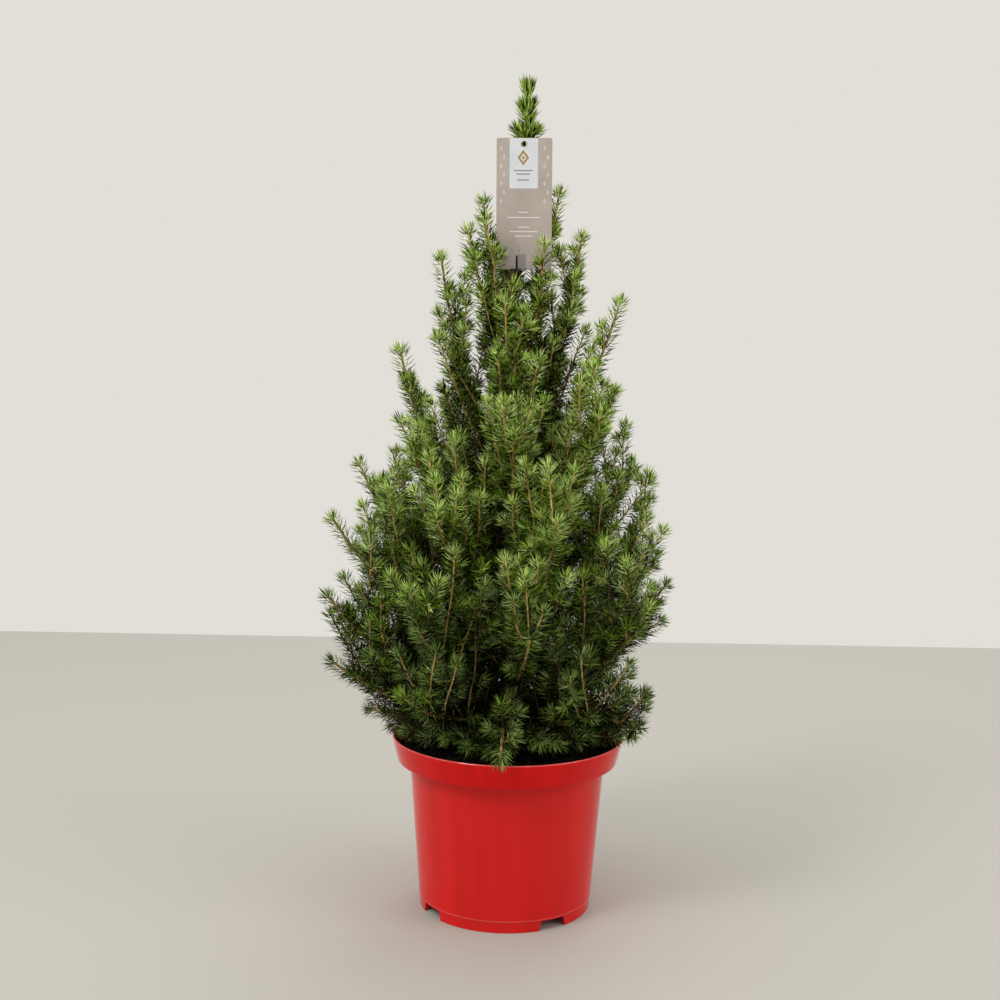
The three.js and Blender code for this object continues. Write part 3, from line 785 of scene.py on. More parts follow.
def side_shoots(limb, draw):
    """Side shoots leave the limb by the golden angle, shorter towards its tip, and curve up."""
    first_turn = TURN * draw()
    count = int(limb.length * (1 - limb.bare) / SHOOT_STEP)
    for i in range(count):
        along = (i + 0.5) / count
        share = lerp(limb.bare, 1, along)
        angle = first_turn + i * GOLDEN * TURN + 0.5 * (draw() - 0.5)
        spread = SHOOT_SPREAD + SPREAD_RANGE * (draw() - 0.5)
        size = limb.side * lerp(1, SHOOT_END, along ** 1.4) * lerp(0.75, 1.1, draw())
        heading = branched(limb.ahead(share), limb.outer, angle, spread, limb.turn_up)
        yield from grown(limb.point(share), heading, size, limb)


def inner_shoots(limb, random):
    """Shoots on the inner stretch of a limb, in the shade"""
    count = max(0, int(limb.length * (limb.bare - INNER_FROM) / INNER_STEP))
    for i in range(count):
        share = lerp(INNER_FROM, limb.bare, (i + 0.5) / count)
        ahead = limb.ahead(share)
        sideways = turned(ahead, limb.outer, i * GOLDEN * TURN + random.random())
        heading = unit(ahead * 0.5 + sideways * 0.8 + UP * 0.8)
        size = limb.side * INNER_SIZE * random.uniform(0.7, 1.1)
        yield from grown(limb.point(share), heading, size, limb, near_limb=False)


def trunk_shoots(random):
    """Shoots straight from the trunk, between the limbs"""
    shoots = []
    height = TRUNK_SHOOT_FROM
    while height < TRUNK_SHOOT_TOP:
        outward = level(len(shoots) * GOLDEN * TURN + ANGLE_SPREAD * random.random())
        start = on_trunk(height, outward)
        low = height < SKIRT_TOP
        if low:
            # The lowest ones end just above the rim
            way = outward * SKIRT_REACH + UP * (POT_HEIGHT + random.uniform(*SKIRT_RISE)) - start
            heading = unit(way)
            sizes = SKIRT_FRONT_SIZES if outward[1] < SKIRT_FRONT else SKIRT_SIZES
            size = np.linalg.norm(way) * random.uniform(*sizes)
        else:
            heading = unit(outward + UP * random.uniform(*(FLAT_RISES if height < FLAT_TOP else STEEP_RISES)))
            size = TRUNK_SHOOT * float(crown_radius(height)) * random.uniform(0.75, 1.1)
        rise = 0 if low else TRUNK_SHOOT_RISE
        line = curve_up(start, heading, size, np.arange(0, size, FIT_STEP), rise)
        room = first_allowed(clear_of_things(line, SHOOT_RADIUS))
        if room >= FEWEST_POINTS:
            shoot = Shoot(line[:room], np.linspace(*TRUNK_SHOOT_RADII, room), outer_side(outward),
                          TRUNK_SHOOT_BARE, STEM_SIDES, parting=DROOP_PARTING if low else PARTING, old=low)
            shoot.dry = low and outward @ DRY_WAY > DRY_SPREAD and random.random() < DRY_SHARE
            shoots.append(shoot)
        height += TRUNK_SHOOT_STEP * (SKIRT_SHARE if low else lerp(0.3, 1.5, height / TRUNK_SHOOT_TOP))
    return shoots


def top_shoots(random):
    """Needles on the top of the trunk, and short shoots behind the label"""
    heights = np.arange(TOP_SHOOT_FROM, TRUNK_TOP, 0.004)
    front = np.array([0, -1.0, 0])
    yield Shoot(trunk_axis(heights), trunk_radius(heights), front, 0, parting=DROOP_PARTING)
    for i, height in enumerate(np.arange(TOP_SHOOT_FROM, TRUNK_TOP - 0.01, TOP_SHOOT_STEP)):
        outward = level(TURN * (0.25 + 0.36 * ((i * GOLDEN) % 1 - 0.5)))
        size = TOP_SHOOT * random.uniform(0.7, 1.2)
        line = curve_up(on_trunk(height, outward), unit(outward + UP * 1.3), size, np.linspace(0, size, 6))
        if clear_of_things(line, SHOOT_RADIUS).all():
            yield Shoot(line, np.linspace(*SHORT_SHOOT_RADII, 6), outward, sides=STEM_SIDES)


def spurs_on(shoot, random):
    """Short spurs along a shoot, by the same golden angle"""
    first = max(SPUR_FROM, shoot.needles_from)
    count = max(0, int((shoot.length - first - SPUR_END) / SPUR_STEP))
    first_turn = TURN * random.random()
    for i in range(count):
        distance = first + (i + random.random()) * SPUR_STEP
        angle = first_turn + i * GOLDEN * TURN
        if math.cos(angle) > SPUR_PARTING:
            continue
        spread = SPUR_SPREAD + SPREAD_RANGE * (random.random() - 0.5)
        heading = branched(shoot.ahead(distance), shoot.outer, angle, spread, SPUR_RISE)
        size = SPUR * lerp(1.25, 0.6, distance / shoot.length) * random.uniform(0.6, 1.2)
        line = curve_up(shoot.point(distance), heading, size, np.linspace(0, size, 4))
        if fits(line[1:]).all():
            yield Shoot(line, np.linspace(*SPUR_RADII, 4), shoot.outer, sides=SPUR_SIDES)


def thinned(shoots):
    """Shortens each shoot until its tip has room, the longest shoots first. The rest stay short."""
    tips = np.array([limb.point(1.0) for limb in limbs])
    open_shoots = []
    crowded = []
    for shoot in sorted(shoots, key=lambda shoot: -shoot.length):
        for share in SHORTENED:
            keep = int(len(shoot.line) * share)
            tip = shoot.line[keep - 1]
            spacing = lerp(*TIP_SPACINGS, smoothstep(*SUNNY_ZONE, tip[2]))
            if keep > FEWEST_POINTS and np.linalg.norm(tips - tip, axis=1).min() > spacing:
                tips = np.vstack([tips, tip])
                open_shoots.append(shoot.cut(keep))
                break
        else:
            if shoot.line[-1, 2] < COARSE_ZONE[1]:
                crowded.append(shoot.cut(max(FEWEST_POINTS, keep)))
    return open_shoots, crowded


def leader_shoots():
    """The leading shoot: three flushes of upright needles, the lowest with a ring of side shoots"""
    limb = limbs[-1]
    whole = limb_shoot(limb, LEADER_END)
    for start, end, lean, size in LEADER_FLUSHES:
        distances = np.linspace(start, end, 8) * limb.length
        yield Shoot(whole.point(distances), whole.radius(distances), limb.outward, parting=0,
                    step=NEEDLE_STEP * 0.2, tuft=3 * TUFT, lean=lean, size=size)
    share, size, count, turn = LEADER_RING
    for i in range(count):
        aside = level(turn + i * TURN / count)
        heading = unit(aside * 0.75 + UP)
        line = curve_up(limb.point(share), heading, size, np.linspace(0, size, 5), 0.3)
        if clear_of_things(line, SHOOT_RADIUS).all():
            radii = np.linspace(*SHORT_SHOOT_RADII, 5)
            yield Shoot(line, radii, aside, sides=SPUR_SIDES, parting=0, lean=RING_LEAN)


def bud_scales():
    """Short pointed scales round the leading shoot, where a flush of needles begins"""
    whole = limb_shoot(limbs[-1], LEADER_END)
    for share, i in itertools.product(LEADER_SCALES, range(9)):
        away = level(i * GOLDEN * TURN)
        distance = (share + 0.004 * i) * limbs[-1].length
        start = whole.point(distance) + away * float(whole.radius(distance))
        yield start + (away * 0.45 + UP) * np.linspace(0, 0.004, 4)[:, None]


def grow():
    """Every shoot of the plant"""
    random = np.random.default_rng(7)
    shoots = [*leader_shoots(), *top_shoots(random)]
    long_shoots = []
    inner = []
    for order, limb in enumerate(limbs[:-1]):
        main = limb_shoot(limb)
        bend, end = limb.corners[1:]
        if end[2] < bend[2]:
            main.parting = DROOP_PARTING
            main.step = NEEDLE_STEP * 0.6
            main.needles_from = 0.2 * limb.length
        shoots += [main, *spurs_on(main, random)]
        long_shoots += side_shoots(limb, seeded(FIRST_SEED + order))
        inner += inner_shoots(limb, random)
    open_shoots, crowded = thinned(long_shoots)
    for shoot in open_shoots:
        shoots += [shoot, *spurs_on(shoot, random)]
    inner += crowded + trunk_shoots(random)
    for shoot in inner:
        end = shoot.line[-1]
        lit_share = FRONT_LIT_SHARE if shoot.old and end[1] < -0.03 else LIT_SHARE
        lit = end[2] < FLAT_TOP and random.random() < lit_share
        if not lit and level_reach(end) < OPEN_SHARE * crown_radius(end[2]):
            shoot.inner = True
            shoot.step = SHADE_STEP
            shoot.tuft = SHADE_TUFT
    return shoots + inner


# Needles
NEEDLE_FACES = np.array([[0, 1, 2], [0, 2, 3], [4, 2, 1], [4, 3, 2]])


def needles_on(shoot, random):
    """Five points for each of its needles, and its zone: 0 at the tip, then 1 and 2.

    The points are the needle's root, one edge, its keel and its other edge at the widest place,
    and its tip. The widest place lies back from the shoot's own tip, so that the needle curves in.
    """
    length = shoot.length
    step = shoot.step * float(lerp(*STEP_SIZES, smoothstep(*COARSE_ZONE, shoot.line[-1, 2])))
    rows = max(0, int((length - shoot.needles_from) / step))
    distance = shoot.needles_from + (np.arange(rows) + random.random(rows)) * step
    tuft = length - TUFT_DEPTH * random.random(shoot.tuft) ** 1.5
    distance = np.minimum(np.concatenate([distance, tuft]), length)
    count = len(distance)
    in_tuft = np.arange(count) >= rows
    below_tip = np.clip((length - distance) / TIP_ZONE, 0, 1)
    ahead = shoot.ahead(distance)
    # Round the shoot, but for a parting along its outer side
    turn = 2 * ((np.arange(count) * GOLDEN) % 1) - 1
    part = shoot.parting * smoothstep(0.15, 0.9, below_tip)
    angle = np.sign(turn) * np.abs(turn) ** lerp(1, 0.7, below_tip) * (math.pi - part)
    away = turned(ahead, -shoot.outer, angle + TURN_SPREAD * random.normal(size=count))
    # Closer to the shoot at its tip, and at all angles in the tuft
    lean = lerp(shoot.lean - BODY_LEAN + END_LEAN, shoot.lean, below_tip ** 0.7)
    lean = lean + LEAN_SPREAD * random.normal(size=count)
    lean = np.where(in_tuft, 0.1 + (shoot.lean + 0.05) * random.random(count), lean)[:, None]
    direction = away * np.sin(lean) + ahead * np.cos(lean)
    size = NEEDLE * lerp(TIP_SIZE, 1, below_tip) * random.uniform(*NEEDLE_SIZES, count)
    size = (size * shoot.size * smoothstep(-0.012, 0.012, distance))[:, None]
    root = shoot.point(distance) + away * (shoot.radius(distance) * 0.6)[:, None]
    tip = root + direction * size
    inward, sideways = across(direction, ahead)
    widest = root + direction * (size * NEEDLE_WIDEST) - inward * (size * NEEDLE_BEND)
    half_width = lerp(*NEEDLE_HALF_WIDTHS, smoothstep(*COARSE_ZONE, root[:, 2]))[:, None]
    edge = sideways * half_width
    depth = inward * (half_width * NEEDLE_KEEL)
    kept = np.ones(count, bool)
    for points in (tip, widest):
        kept &= clear_of_things(points, 0) & clear_of_trunk(points, 0)
    needles = np.stack([root, widest + edge + depth, widest - depth, widest - edge + depth, tip], axis=1)
    below = (length - distance) * random.uniform(0.75, 1.25, count)
    zone = (below > LIGHT_ZONE).astype(int) + (below > BODY_ZONE)
    return needles[kept], zone[kept]


def needle_material(tint, cool):
    red, green, blue, shine = TINTS[tint]
    # The cooler copy is darker too: painted shade low on the plant
    if cool:
        red, green, blue = red * COOLING[0], green * COOLING[1], blue + green * COOLING[2]
    colour = np.array([red, green, blue])
    material = shader("needles_" + tint + ("_cool" if cool else ""), colour, 0.25, specular=shine)
    mottle(material, colour * 0.8, np.minimum(1, colour * 1.2), 90, detail=2.0)
    return material


def tints_of(shoot, random):
    """The tints of a shoot's needles, from its tip to its foot: painted light and shade, lighter high up and
    outside
    """
    if shoot.dry:
        return "dry", "dry", "dry"
    if shoot.inner:
        return "shade", "shade", "shade"
    if shoot.parting == 0:
        return "fresh", "fresh", "green"
    end = shoot.line[-1]
    radius = level_reach(end) / max(0.02, crown_radius(end[2]))
    high = smoothstep(*SUNNY_ZONE, end[2])
    exposed = radius + 0.3 * (random.random() - 0.5) + 0.85 * (high - 0.68)
    if exposed > 0.94:
        return "tip", "fresh", "green"
    if exposed > 0.68:
        return "tip", "green", "deep"
    if exposed > 0.40 or shoot.old:
        return "fresh", "green", "deep"
    return "fresh", "deep", "shade"


def make_foliage():
    random = np.random.default_rng(11)
    order = list(TINTS)
    sprays = {(tint, cool): [] for cool in (False, True) for tint in order}
    young = []
    shaded = []
    for shoot in grow():
        zone_tints = np.array([order.index(tint) for tint in tints_of(shoot, random)])
        shoot.parting *= random.uniform(0.2, 0.95)
        height = shoot.line[-1, 2]
        high = smoothstep(*SUNNY_ZONE, height)
        # Cooler and darker tints low on the plant: painted shade
        cool = not shoot.dry and random.random() > smoothstep(*COOL_ZONE, height)
        points, zone = needles_on(shoot, random)
        tints = zone_tints[zone]
        if not shoot.dry:
            stray = random.choice(STRAYS, len(tints), p=lerp(*STRAY_SHARES, high))
            tints = np.clip(tints + stray, 0, order.index("shade"))
        for number, tint in enumerate(order):
            sprays[tint, cool].append(points[tints == number])
        if shoot.sides:
            radii = shoot.radii * random.uniform(0.85, 1.2, len(shoot.radii))
            # Stems in the shade, and more of those low on the plant, get the dark bark: painted shade
            dark = shoot.inner or shoot.old or random.random() < DARK_STEM_SHARE * (1 - high)
            (shaded if dark else young).append(tube(shoot.line, radii, shoot.sides, shoot.outer))
    for line in bud_scales():
        young.append(tube(line, np.linspace(0.0007, 0.0004, len(line)), 5, np.array([0.6, 0.8, 0])))
    pieces = []
    for (tint, cool), groups in sprays.items():
        needles = np.concatenate(groups)
        if not len(needles):
            continue
        material = needle_material(tint, cool)
        for number, start in enumerate(range(0, len(needles), MOST_NEEDLES)):
            some = needles[start:start + MOST_NEEDLES]
            faces = (NEEDLE_FACES + 5 * np.arange(len(some))[:, None, None]).reshape(-1, 3)
            name = f"{material.name}_{number + 1}"
            pieces.append(piece(name, some.reshape(-1, 3), faces, material, "needles"))
    young_bark = shader("young_bark", (0.48, 0.30, 0.12), 0.55, specular=0.3)
    mottle(young_bark, (0.20, 0.110, 0.030), (0.70, 0.47, 0.15), 260)
    pieces.append(piece("twigs", *joined(young), young_bark, "bark", smooth=True))
    shaded_bark = shader("shaded_bark", (0.09, 0.06, 0.03), 0.7, specular=0.15)
    mottle(shaded_bark, (0.045, 0.027, 0.012), (0.15, 0.095, 0.045), 240)
    pieces.append(piece("twigs_shaded", *joined(shaded), shaded_bark, "bark", smooth=True))
    nodes = ["foliage_" + limb.name for limb in limbs]
    for part in pieces:
        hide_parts(*nodes)


# Wood
def rough_noise(points, scale, stretch=1):
    return np.array([noise.fractal(Vector((x * scale, y * scale, z * scale / stretch)), 0.8, 2.1, 4)
                     for x, y, z in points])


def make_wood():
    bark = shader("old_bark", (0.22, 0.13, 0.07), 0.85)
    mottle(bark, (0.09, 0.050, 0.028), (0.34, 0.20, 0.105), 220, stretch=(1, 1, 0.5))
    relief(bark, 0.5, 0.0004, 700, stretch=(1, 1, 0.4))
    heights = TRUNK_FOOT + (TRUNK_TOP - TRUNK_FOOT) * np.linspace(0, 1, TRUNK_RINGS) ** 1.15
    axis = trunk_axis(heights)[:, None]
    ring = level(all_round(TRUNK_SEGMENTS))
    radius = trunk_radius(heights)[:, None]
    plain = axis + ring * radius[..., None]
    rough = rough_noise(plain.reshape(-1, 3), 260, 2.2).reshape(plain.shape[:2])
    mesh = capped("trunk_bark", axis + ring * (radius * (1 + TRUNK_ROUGHNESS * rough))[..., None])
    mesh.polygons.foreach_set("use_smooth", [len(face.vertices) == 4 for face in mesh.polygons])
    trunk = placed("trunk_bark", mesh, bark, "bark")
    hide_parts("trunk")

    old = []
    young = []
    for limb in limbs:
        count = int(limb.length / LIMB_RING_STEP)
        shares = np.linspace(0, 1, count)
        line = limb.point(shares)
        radii = limb.radius_at(shares) * (1 + LIMB_ROUGHNESS * rough_noise(line, 500))
        split = int(count * OLD_WOOD)
        old.append(tube(line[:split + 1], radii[:split + 1], 8, limb.outer))
        young.append(tube(line[split:], radii[split:], 6, limb.outer))
    stems = shader("stem_bark", (0.36, 0.24, 0.10), 0.6, specular=0.25)
    mottle(stems, (0.15, 0.082, 0.022), (0.54, 0.36, 0.12), 240)
    boughs = piece("bough_bark", *joined(old), bark, "bark", smooth=True)
    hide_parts(*[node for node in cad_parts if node.startswith("bough_")])
    piece("stem_bark", *joined(young), stems, "bark", smooth=True)


# The pot and the peat
def make_pot():
    """Turned from one outline, then cut by the notches in its foot"""
    shoulder = POT_HEIGHT - RIM_BAND
    floor_top = FLOOR_HEIGHT + WALL
    foot, top = BODY_FOOT_RADIUS, BODY_TOP_RADIUS
    rim_foot, rim_top = RIM_FOOT_RADIUS, RIM_TOP_RADIUS
    ridge, step, lip = RIDGE_HEIGHT, RIDGE_STEP, RIM_ROUNDING
    outline = [
        (foot - FOOT_RING_WIDTH, FLOOR_HEIGHT), (foot - FOOT_RING_WIDTH, 0), (foot - step - 0.0003, 0),
        (foot - step, 0.0003), (foot - step / 3, ridge - 0.0006), (foot + step, ridge - 0.0002),
        (foot + step, ridge + 0.0004),
        (top - 0.0006, shoulder - 0.004), (top - 0.0002, shoulder - 0.0012), (top + 0.0012, shoulder),
        (rim_foot - lip, shoulder), (rim_foot - 0.3 * lip, shoulder + 0.3 * lip), (rim_foot, shoulder + lip),
        (rim_top - 0.0002, POT_HEIGHT - 1.2 * lip), (rim_top, POT_HEIGHT - 0.6 * lip),
        (rim_top - 0.3 * lip, POT_HEIGHT - 0.1 * lip), (rim_top - 0.75 * lip, POT_HEIGHT),
        (rim_top - 1.2 * lip, POT_HEIGHT - 0.2 * lip), (rim_top - 1.25 * lip, POT_HEIGHT - lip),
        (inner_rim(shoulder + WALL), shoulder + WALL), (inner_wall(shoulder), shoulder),
        (inner_wall(floor_top), floor_top),
    ]
    red = shader("pot_plastic", (0.62, 0.0075, 0.0062), 0.10, specular=0.20)
    # Soft upright streaks, darker and lighter: painted reflections on the glossy plastic
    mottle(red, (0.84, 0.84, 0.84), (1, 1, 1), 22, stretch=(2.6, 2.6, 0.2), detail=3)
    # Bands by height: a painted highlight on the lip and the foot's ridge, and a painted reflection on the
    # body
    banded(red, POT_BANDS, POT_HEIGHT)
    relief(red, 0.2, 0.0006, 26, stretch=(2.2, 2.2, 0.25), detail=3)
    pot = placed("pot_shell", capped("pot_shell", lathe(outline, POT_SEGMENTS)), red, "pot_plastic")
    for i in range(NOTCH_COUNT):
        cut(pot, notch_cutter(math.radians(NOTCH_FIRST_DEG) + i * TURN / NOTCH_COUNT))
    pot.data.polygons.foreach_set("use_smooth", np.full(len(pot.data.polygons), True))
    pot.data.set_sharp_from_angle(angle=math.radians(SHARP_EDGE_DEG))
    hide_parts("pot")


def notch_cutter(turn):
    """A block through the foot ring, narrower at its top"""
    half_foot = NOTCH_FOOT_WIDTH / 2
    half_top = NOTCH_TOP_WIDTH / 2
    corner = NOTCH_CORNER
    section = [(-half_foot, -corner), (half_foot, -corner),
               (half_top + corner, NOTCH_HEIGHT - corner), (half_top, NOTCH_HEIGHT),
               (-half_top, NOTCH_HEIGHT), (-half_top - corner, NOTCH_HEIGHT - corner)]
    aside = level(turn + TURN / 4)
    rings = [[level(turn) * (BODY_FOOT_RADIUS + reach) + aside * x + UP * z for x, z in section]
             for reach in (-NOTCH_CUT, NOTCH_CUT)]
    return add("notch_cutter", capped("notch_cutter", np.array(rings)))


def cut(thing, cutter):
    """Cuts the shape of cutter from a piece, and removes it."""
    modifier = thing.modifiers.new("cut", "BOOLEAN")
    modifier.operation = "DIFFERENCE"
    modifier.solver = "EXACT"
    modifier.object = cutter
    mesh = final_mesh(thing)
    thing.modifiers.remove(modifier)
    thing.data = mesh
    bpy.data.objects.remove(cutter)


def make_peat():
    """A crumbly surface that fills the pot"""
    random = np.random.default_rng(5)
    shoulder = POT_HEIGHT - RIM_BAND
    floor = FLOOR_HEIGHT + WALL + GAP
    shelf = shoulder + WALL + GAP
    edge = inner_rim(SOIL_TOP) - 2 * GAP
    outline = [(inner_wall(floor) - GAP, floor), (inner_wall(shoulder) - 2 * GAP, shelf),
               (inner_rim(shelf) - 2 * GAP, shelf), (edge, SOIL_TOP - 0.001)]
    outline += [(radius, SOIL_TOP) for radius in np.linspace(edge - 0.0005, 0.004, PEAT_RINGS)]
    rings = lathe(outline, PEAT_SEGMENTS)
    top = rings[-PEAT_RINGS:].reshape(-1, 3)
    rough = rough_noise(top, 120) + 0.6 * rough_noise(top, 420)
    top[:, 2] += PEAT_RELIEF * rough - PEAT_DROP
    near_trunk = level_reach(top) < 0.02
    top[near_trunk, 2] = np.minimum(top[near_trunk, 2], SOIL_TOP)
    rings[-PEAT_RINGS:] = top.reshape(PEAT_RINGS, PEAT_SEGMENTS, 3)
    soil = shader("peat", (0.01, 0.007, 0.005), 0.95, specular=0.1)
    mottle(soil, (0.005, 0.004, 0.003), (0.036, 0.027, 0.019), 300)
    body = piece("peat_body", *pointed(rings, [UP * floor, UP * SOIL_TOP]), soil, "peat", smooth=True)
    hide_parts("potting_soil")

    crumbs = []
    lump, lump_faces = crumb()
    smallest, range_above = CRUMB_SIZES
    for _ in range(CRUMB_COUNT):
        radius = edge * math.sqrt(random.random()) * 0.985
        place = level(TURN * random.random()) * radius + UP * (SOIL_TOP - 0.0004)
        size = smallest + range_above * random.random() ** 2
        shape = lump * random.uniform(0.6, 1.25, lump.shape) * size
        if level_reach(place - trunk_axis(SOIL_TOP)) > CRUMB_FREE:
            crumbs.append((shape + place, lump_faces))
    loose = piece("peat_crumbs", *joined(crumbs), soil, "peat")
    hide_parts("potting_soil")


def crumb():
    """The corners and faces of an icosahedron"""
    golden = (1 + math.sqrt(5)) / 2
    corners = []
    for one, other in itertools.product((-1, 1), (-golden, golden)):
        corners += [(0, one, other), (one, other, 0), (other, 0, one)]
    corners = unit(np.array(corners, float))
    faces = []
    for a, b, c in itertools.combinations(range(12), 3):
        sides = corners[[a, b, c]] - corners[[b, c, a]]
        if np.linalg.norm(sides, axis=1).max() < 1.2:
            outwards = np.cross(corners[b] - corners[a], corners[c] - corners[a]) @ corners[a] > 0
            faces.append([a, b, c] if outwards else [a, c, b])
    return corners, np.array(faces)


# The label
def plate(name, outlines, thickness, depth, material, bevel=0.0):
    """A flat plate from closed outlines in the card's plane. depth is from the card's middle to its own."""
    curve = bpy.data.curves.new(name, "CURVE")
    curve.dimensions = "2D"
    curve.fill_mode = "BOTH"
    curve.extrude = thickness / 2 - bevel
    curve.bevel_depth = bevel
    curve.bevel_resolution = 2
    for outline in outlines:
        spline = curve.splines.new("POLY")
        spline.points.add(len(outline) - 1)
        for point, (x, y) in zip(spline.points, outline):
            point.co = (x, y, 0, 1)
        spline.use_cyclic_u = True
    source = add(name + "_curve", curve)
    mesh = final_mesh(source)
    bpy.data.objects.remove(source)
    stand = Matrix.Rotation(-CARD_TILT, 4, "Y") @ Matrix.Rotation(TURN / 4, 4, "X")
    mesh.transform(Matrix.Translation(Vector(CARD_MIDDLE) + Vector((0, depth, 0))) @ stand)
    return placed(name, mesh, material, "label_card")


def circle(x, y, radius, count=32):
    return [(x + radius * math.cos(angle), y + radius * math.sin(angle)) for angle in all_round(count)]


def rectangle(x, y, width, height):
    return [(x + i * width / 2, y + j * height / 2) for i, j in ((-1, -1), (1, -1), (1, 1), (-1, 1))]


def diamond(x, y, half_width, half_height):
    return [(x, y - half_height), (x + half_width, y), (x, y + half_height), (x - half_width, y)]


def card_outline():
    """Rounded corners, and a slot that is open below"""
    bottom = -CARD_HEIGHT / 2
    slot_left = SLOT_OFFSET - SLOT_WIDTH / 2
    slot_right = SLOT_OFFSET + SLOT_WIDTH / 2
    points = [(slot_left, bottom), (slot_left, bottom + SLOT_HEIGHT), (slot_right, bottom + SLOT_HEIGHT),
              (slot_right, bottom)]
    corner = CARD_CORNER
    middles = rectangle(0, 0, CARD_WIDTH - 2 * corner, CARD_HEIGHT - 2 * corner)
    for k, (x, y) in enumerate(middles[1:] + middles[:1]):
        for step in range(5):
            angle = (k - 1 + step / 4) * TURN / 4
            points.append((x + corner * math.cos(angle), y + corner * math.sin(angle)))
    return points


def make_label():
    """A card with a pale panel, an emblem, bars, lines and two columns of motifs"""
    taupe = shader("label_taupe", (0.42, 0.355, 0.32), 0.42)
    mottle(taupe, (0.39, 0.327, 0.292), (0.45, 0.383, 0.345), 60)
    pale = shader("label_pale", (0.64, 0.66, 0.69), 0.4)
    mottle(pale, (0.61, 0.63, 0.66), (0.67, 0.69, 0.72), 90)
    print_pale = shader("label_print_pale", (0.70, 0.68, 0.65), 0.5)
    print_grey = shader("label_print_grey", (0.24, 0.23, 0.22), 0.5)
    gold = shader("label_gold", (0.42, 0.29, 0.09), 0.3, metallic=0.6)
    grey = shader("label_grey", (0.27, 0.25, 0.25), 0.45)
    dark = shader("label_dark", (0.03, 0.028, 0.025), 0.5)

    top = CARD_HEIGHT / 2
    eyelet = (-0.0008, top - EYELET_DROP)
    hole = circle(*eyelet, EYELET_RADIUS)
    card = plate("label_card", [card_outline(), hole], CARD_THICKNESS, 0, taupe, bevel=0.0001)
    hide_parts("plant_label")
    middle = top - 0.0196
    emblem = [diamond(-0.0009, middle + 0.0045, half_width, half_height)
              for half_width, half_height in ((0.0045, 0.0060), (0.0026, 0.0035), (0.0012, 0.0016))]
    bars = [rectangle(-0.0009, middle - drop, width, 0.0009)
            for drop, width in ((0.0055, 0.0150), (0.0082, 0.0105), (0.0128, 0.0090))]
    rows = ((-0.0065, 0.008), (-0.0105, 0.026), (-0.0180, 0.009), (-0.0215, 0.022), (-0.0250, 0.014))
    lines = [rectangle(-0.0004, height, width, 0.00075) for height, width in rows]
    motifs = []
    for row, side in itertools.product(range(7), (-1, 1)):
        x = side * 0.0172 + (0.0012 if row % 2 else -0.0012)
        y = top - 0.008 - row * 0.0068
        motifs += [diamond(x, y, 0.0011, 0.0019), diamond(x, y, 0.0006, 0.0011)]
    # Each one's thickness, and how far its middle lies before the card's face
    for name, outlines, thickness, lift, material in (
            ("panel", [rectangle(-0.0005, middle, 0.0224, 0.0388), hole], 0.00012, 0.00004, pale),
            ("emblem", emblem[:2], PRINT, 0.00012, gold),
            ("emblem_middle", emblem[2:], PRINT, 0.00012, gold),
            ("panel_bars", bars, PRINT, 0.00012, print_grey),
            ("lines", lines, PRINT, 0.00003, print_pale),
            ("motifs", motifs, PRINT, 0.00003, print_pale),
            ("flap", [rectangle(SLOT_OFFSET + 0.0042, 0.0062 - top, 0.0052, 0.0116)], 0.0003, 0.0003, grey),
            # A dark strip along the card's foot: painted shadow of the collar
            ("collar_shadow", [rectangle(SLOT_OFFSET + 0.0015, 0.0003 - top, 0.0130, 0.0007)], 0.0004, 0.0002, dark)):
        plate("label_" + name, outlines, thickness, -CARD_THICKNESS / 2 - lift, material)
    make_eyelet(*eyelet)
    make_collar(dark)


def make_eyelet(x, y, segments=40, sides=10, tube_radius=0.0005):
    """A brass ring round the hole"""
    angles = all_round(segments)[:, None]
    tube_angles = all_round(sides)
    reach = EYELET_RADIUS + 0.0001 + tube_radius * np.cos(tube_angles)
    depth = 0 * angles - tube_radius * np.sin(tube_angles)
    rings = np.stack([reach * np.cos(angles), depth, reach * np.sin(angles)], -1)
    points = (rings + CARD_MIDDLE + [x, 0, y]).reshape(-1, 3)
    brass = shader("eyelet_brass", (0.36, 0.30, 0.17), 0.3, metallic=1.0)
    faces = ring_faces(segments, sides, joined=True)
    piece("label_eyelet", points, faces, brass, "label_card", smooth=True)


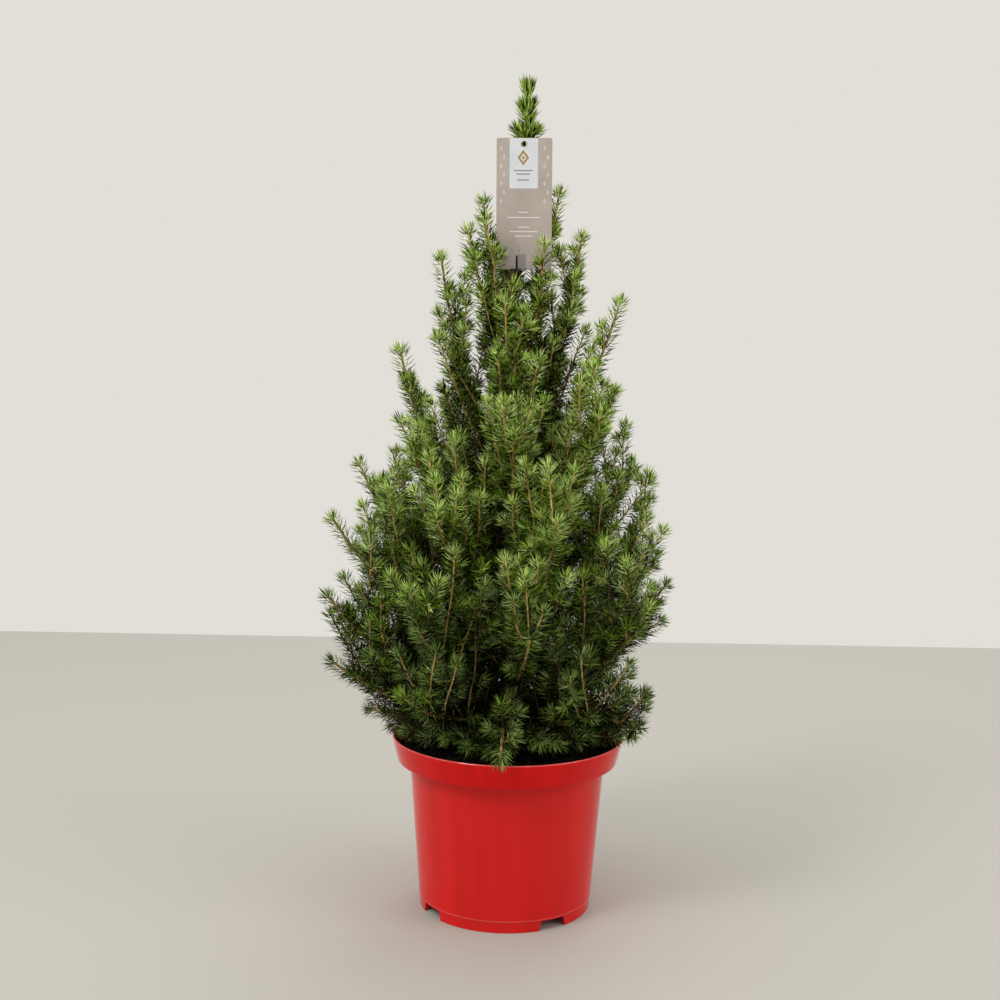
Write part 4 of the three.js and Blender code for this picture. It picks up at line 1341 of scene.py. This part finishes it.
def make_collar(dark):
    """The band that holds the label to the trunk"""
    foot = CARD_MIDDLE[2] - CARD_HEIGHT / 2
    top = foot + COLLAR_HEIGHT
    bore = float(trunk_radius(foot)) + GAP + COLLAR_SLACK
    outside = bore + COLLAR_WALL
    outline = [(bore, foot + 0.0002), (bore + 0.0002, foot), (outside - 0.0003, foot),
               (outside, foot + 0.0003), (outside, top - 0.0003), (outside - 0.0003, top),
               (bore + 0.0002, top), (bore, top - 0.0002)]
    points = lathe(outline, COLLAR_SEGMENTS, trunk_axis((foot + top) / 2) * [1, 1, 0]).reshape(-1, 3)
    faces = ring_faces(len(outline), COLLAR_SEGMENTS, joined=True)
    collar = piece("label_collar", points, faces, dark, "label_card", smooth=True)
    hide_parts("plant_label")


# The stage
def make_stage():
    back = math.asin(FLOOR_BACK / FLOOR_REACH)
    edge = FLOOR_REACH * level(np.linspace(math.pi - back, TURN + back, 97))
    mesh = bpy.data.meshes.new("floor")
    mesh.from_pydata(edge.tolist(), [], [list(range(len(edge)))])
    mesh.materials.append(shader("floor", (0.42, 0.40, 0.36), 0.8))
    floor = add("floor", mesh)
    world = bpy.data.worlds.new("sky")
    world.use_nodes = True
    tree = world.node_tree
    sky = ramp_in(tree, height_in(tree, "Generated"), SKY)
    tree.links.new(sky, tree.nodes["Background"].inputs["Color"])
    bpy.context.scene.world = world
    bpy.context.scene.view_settings.view_transform = "Standard"
    for light in LIGHTS:
        area_light(*light)


def area_light(name, place, size, power, height):
    data = bpy.data.lights.new(name, "AREA")
    data.shape = "RECTANGLE" if height else "DISK"
    data.size = size
    if height:
        data.size_y = height
    data.energy = power
    aim = Vector((0, 0, place[2] if height else LIGHTS_AIM)) - Vector(place)
    turn = aim.to_track_quat("-Z", "Y").to_matrix().to_4x4()
    add(name, data).matrix_world = Matrix.Translation(place) @ turn


def make_camera():
    data = bpy.data.cameras.new("camera")
    data.lens = LENS_MM
    data.sensor_width = 36
    data.clip_start = 0.05
    camera = add("camera", data)
    pitch = Matrix.Rotation(math.radians(90 - CAMERA_DOWN_DEG), 4, "X")
    roll = Matrix.Rotation(math.radians(CAMERA_ROLL_DEG), 4, "Z")
    camera.matrix_world = Matrix.Translation(CAMERA_PLACE) @ pitch @ roll
    bpy.context.scene.camera = camera


make_camera()
make_stage()
make_pot()
make_peat()
make_wood()
make_foliage()
make_label()
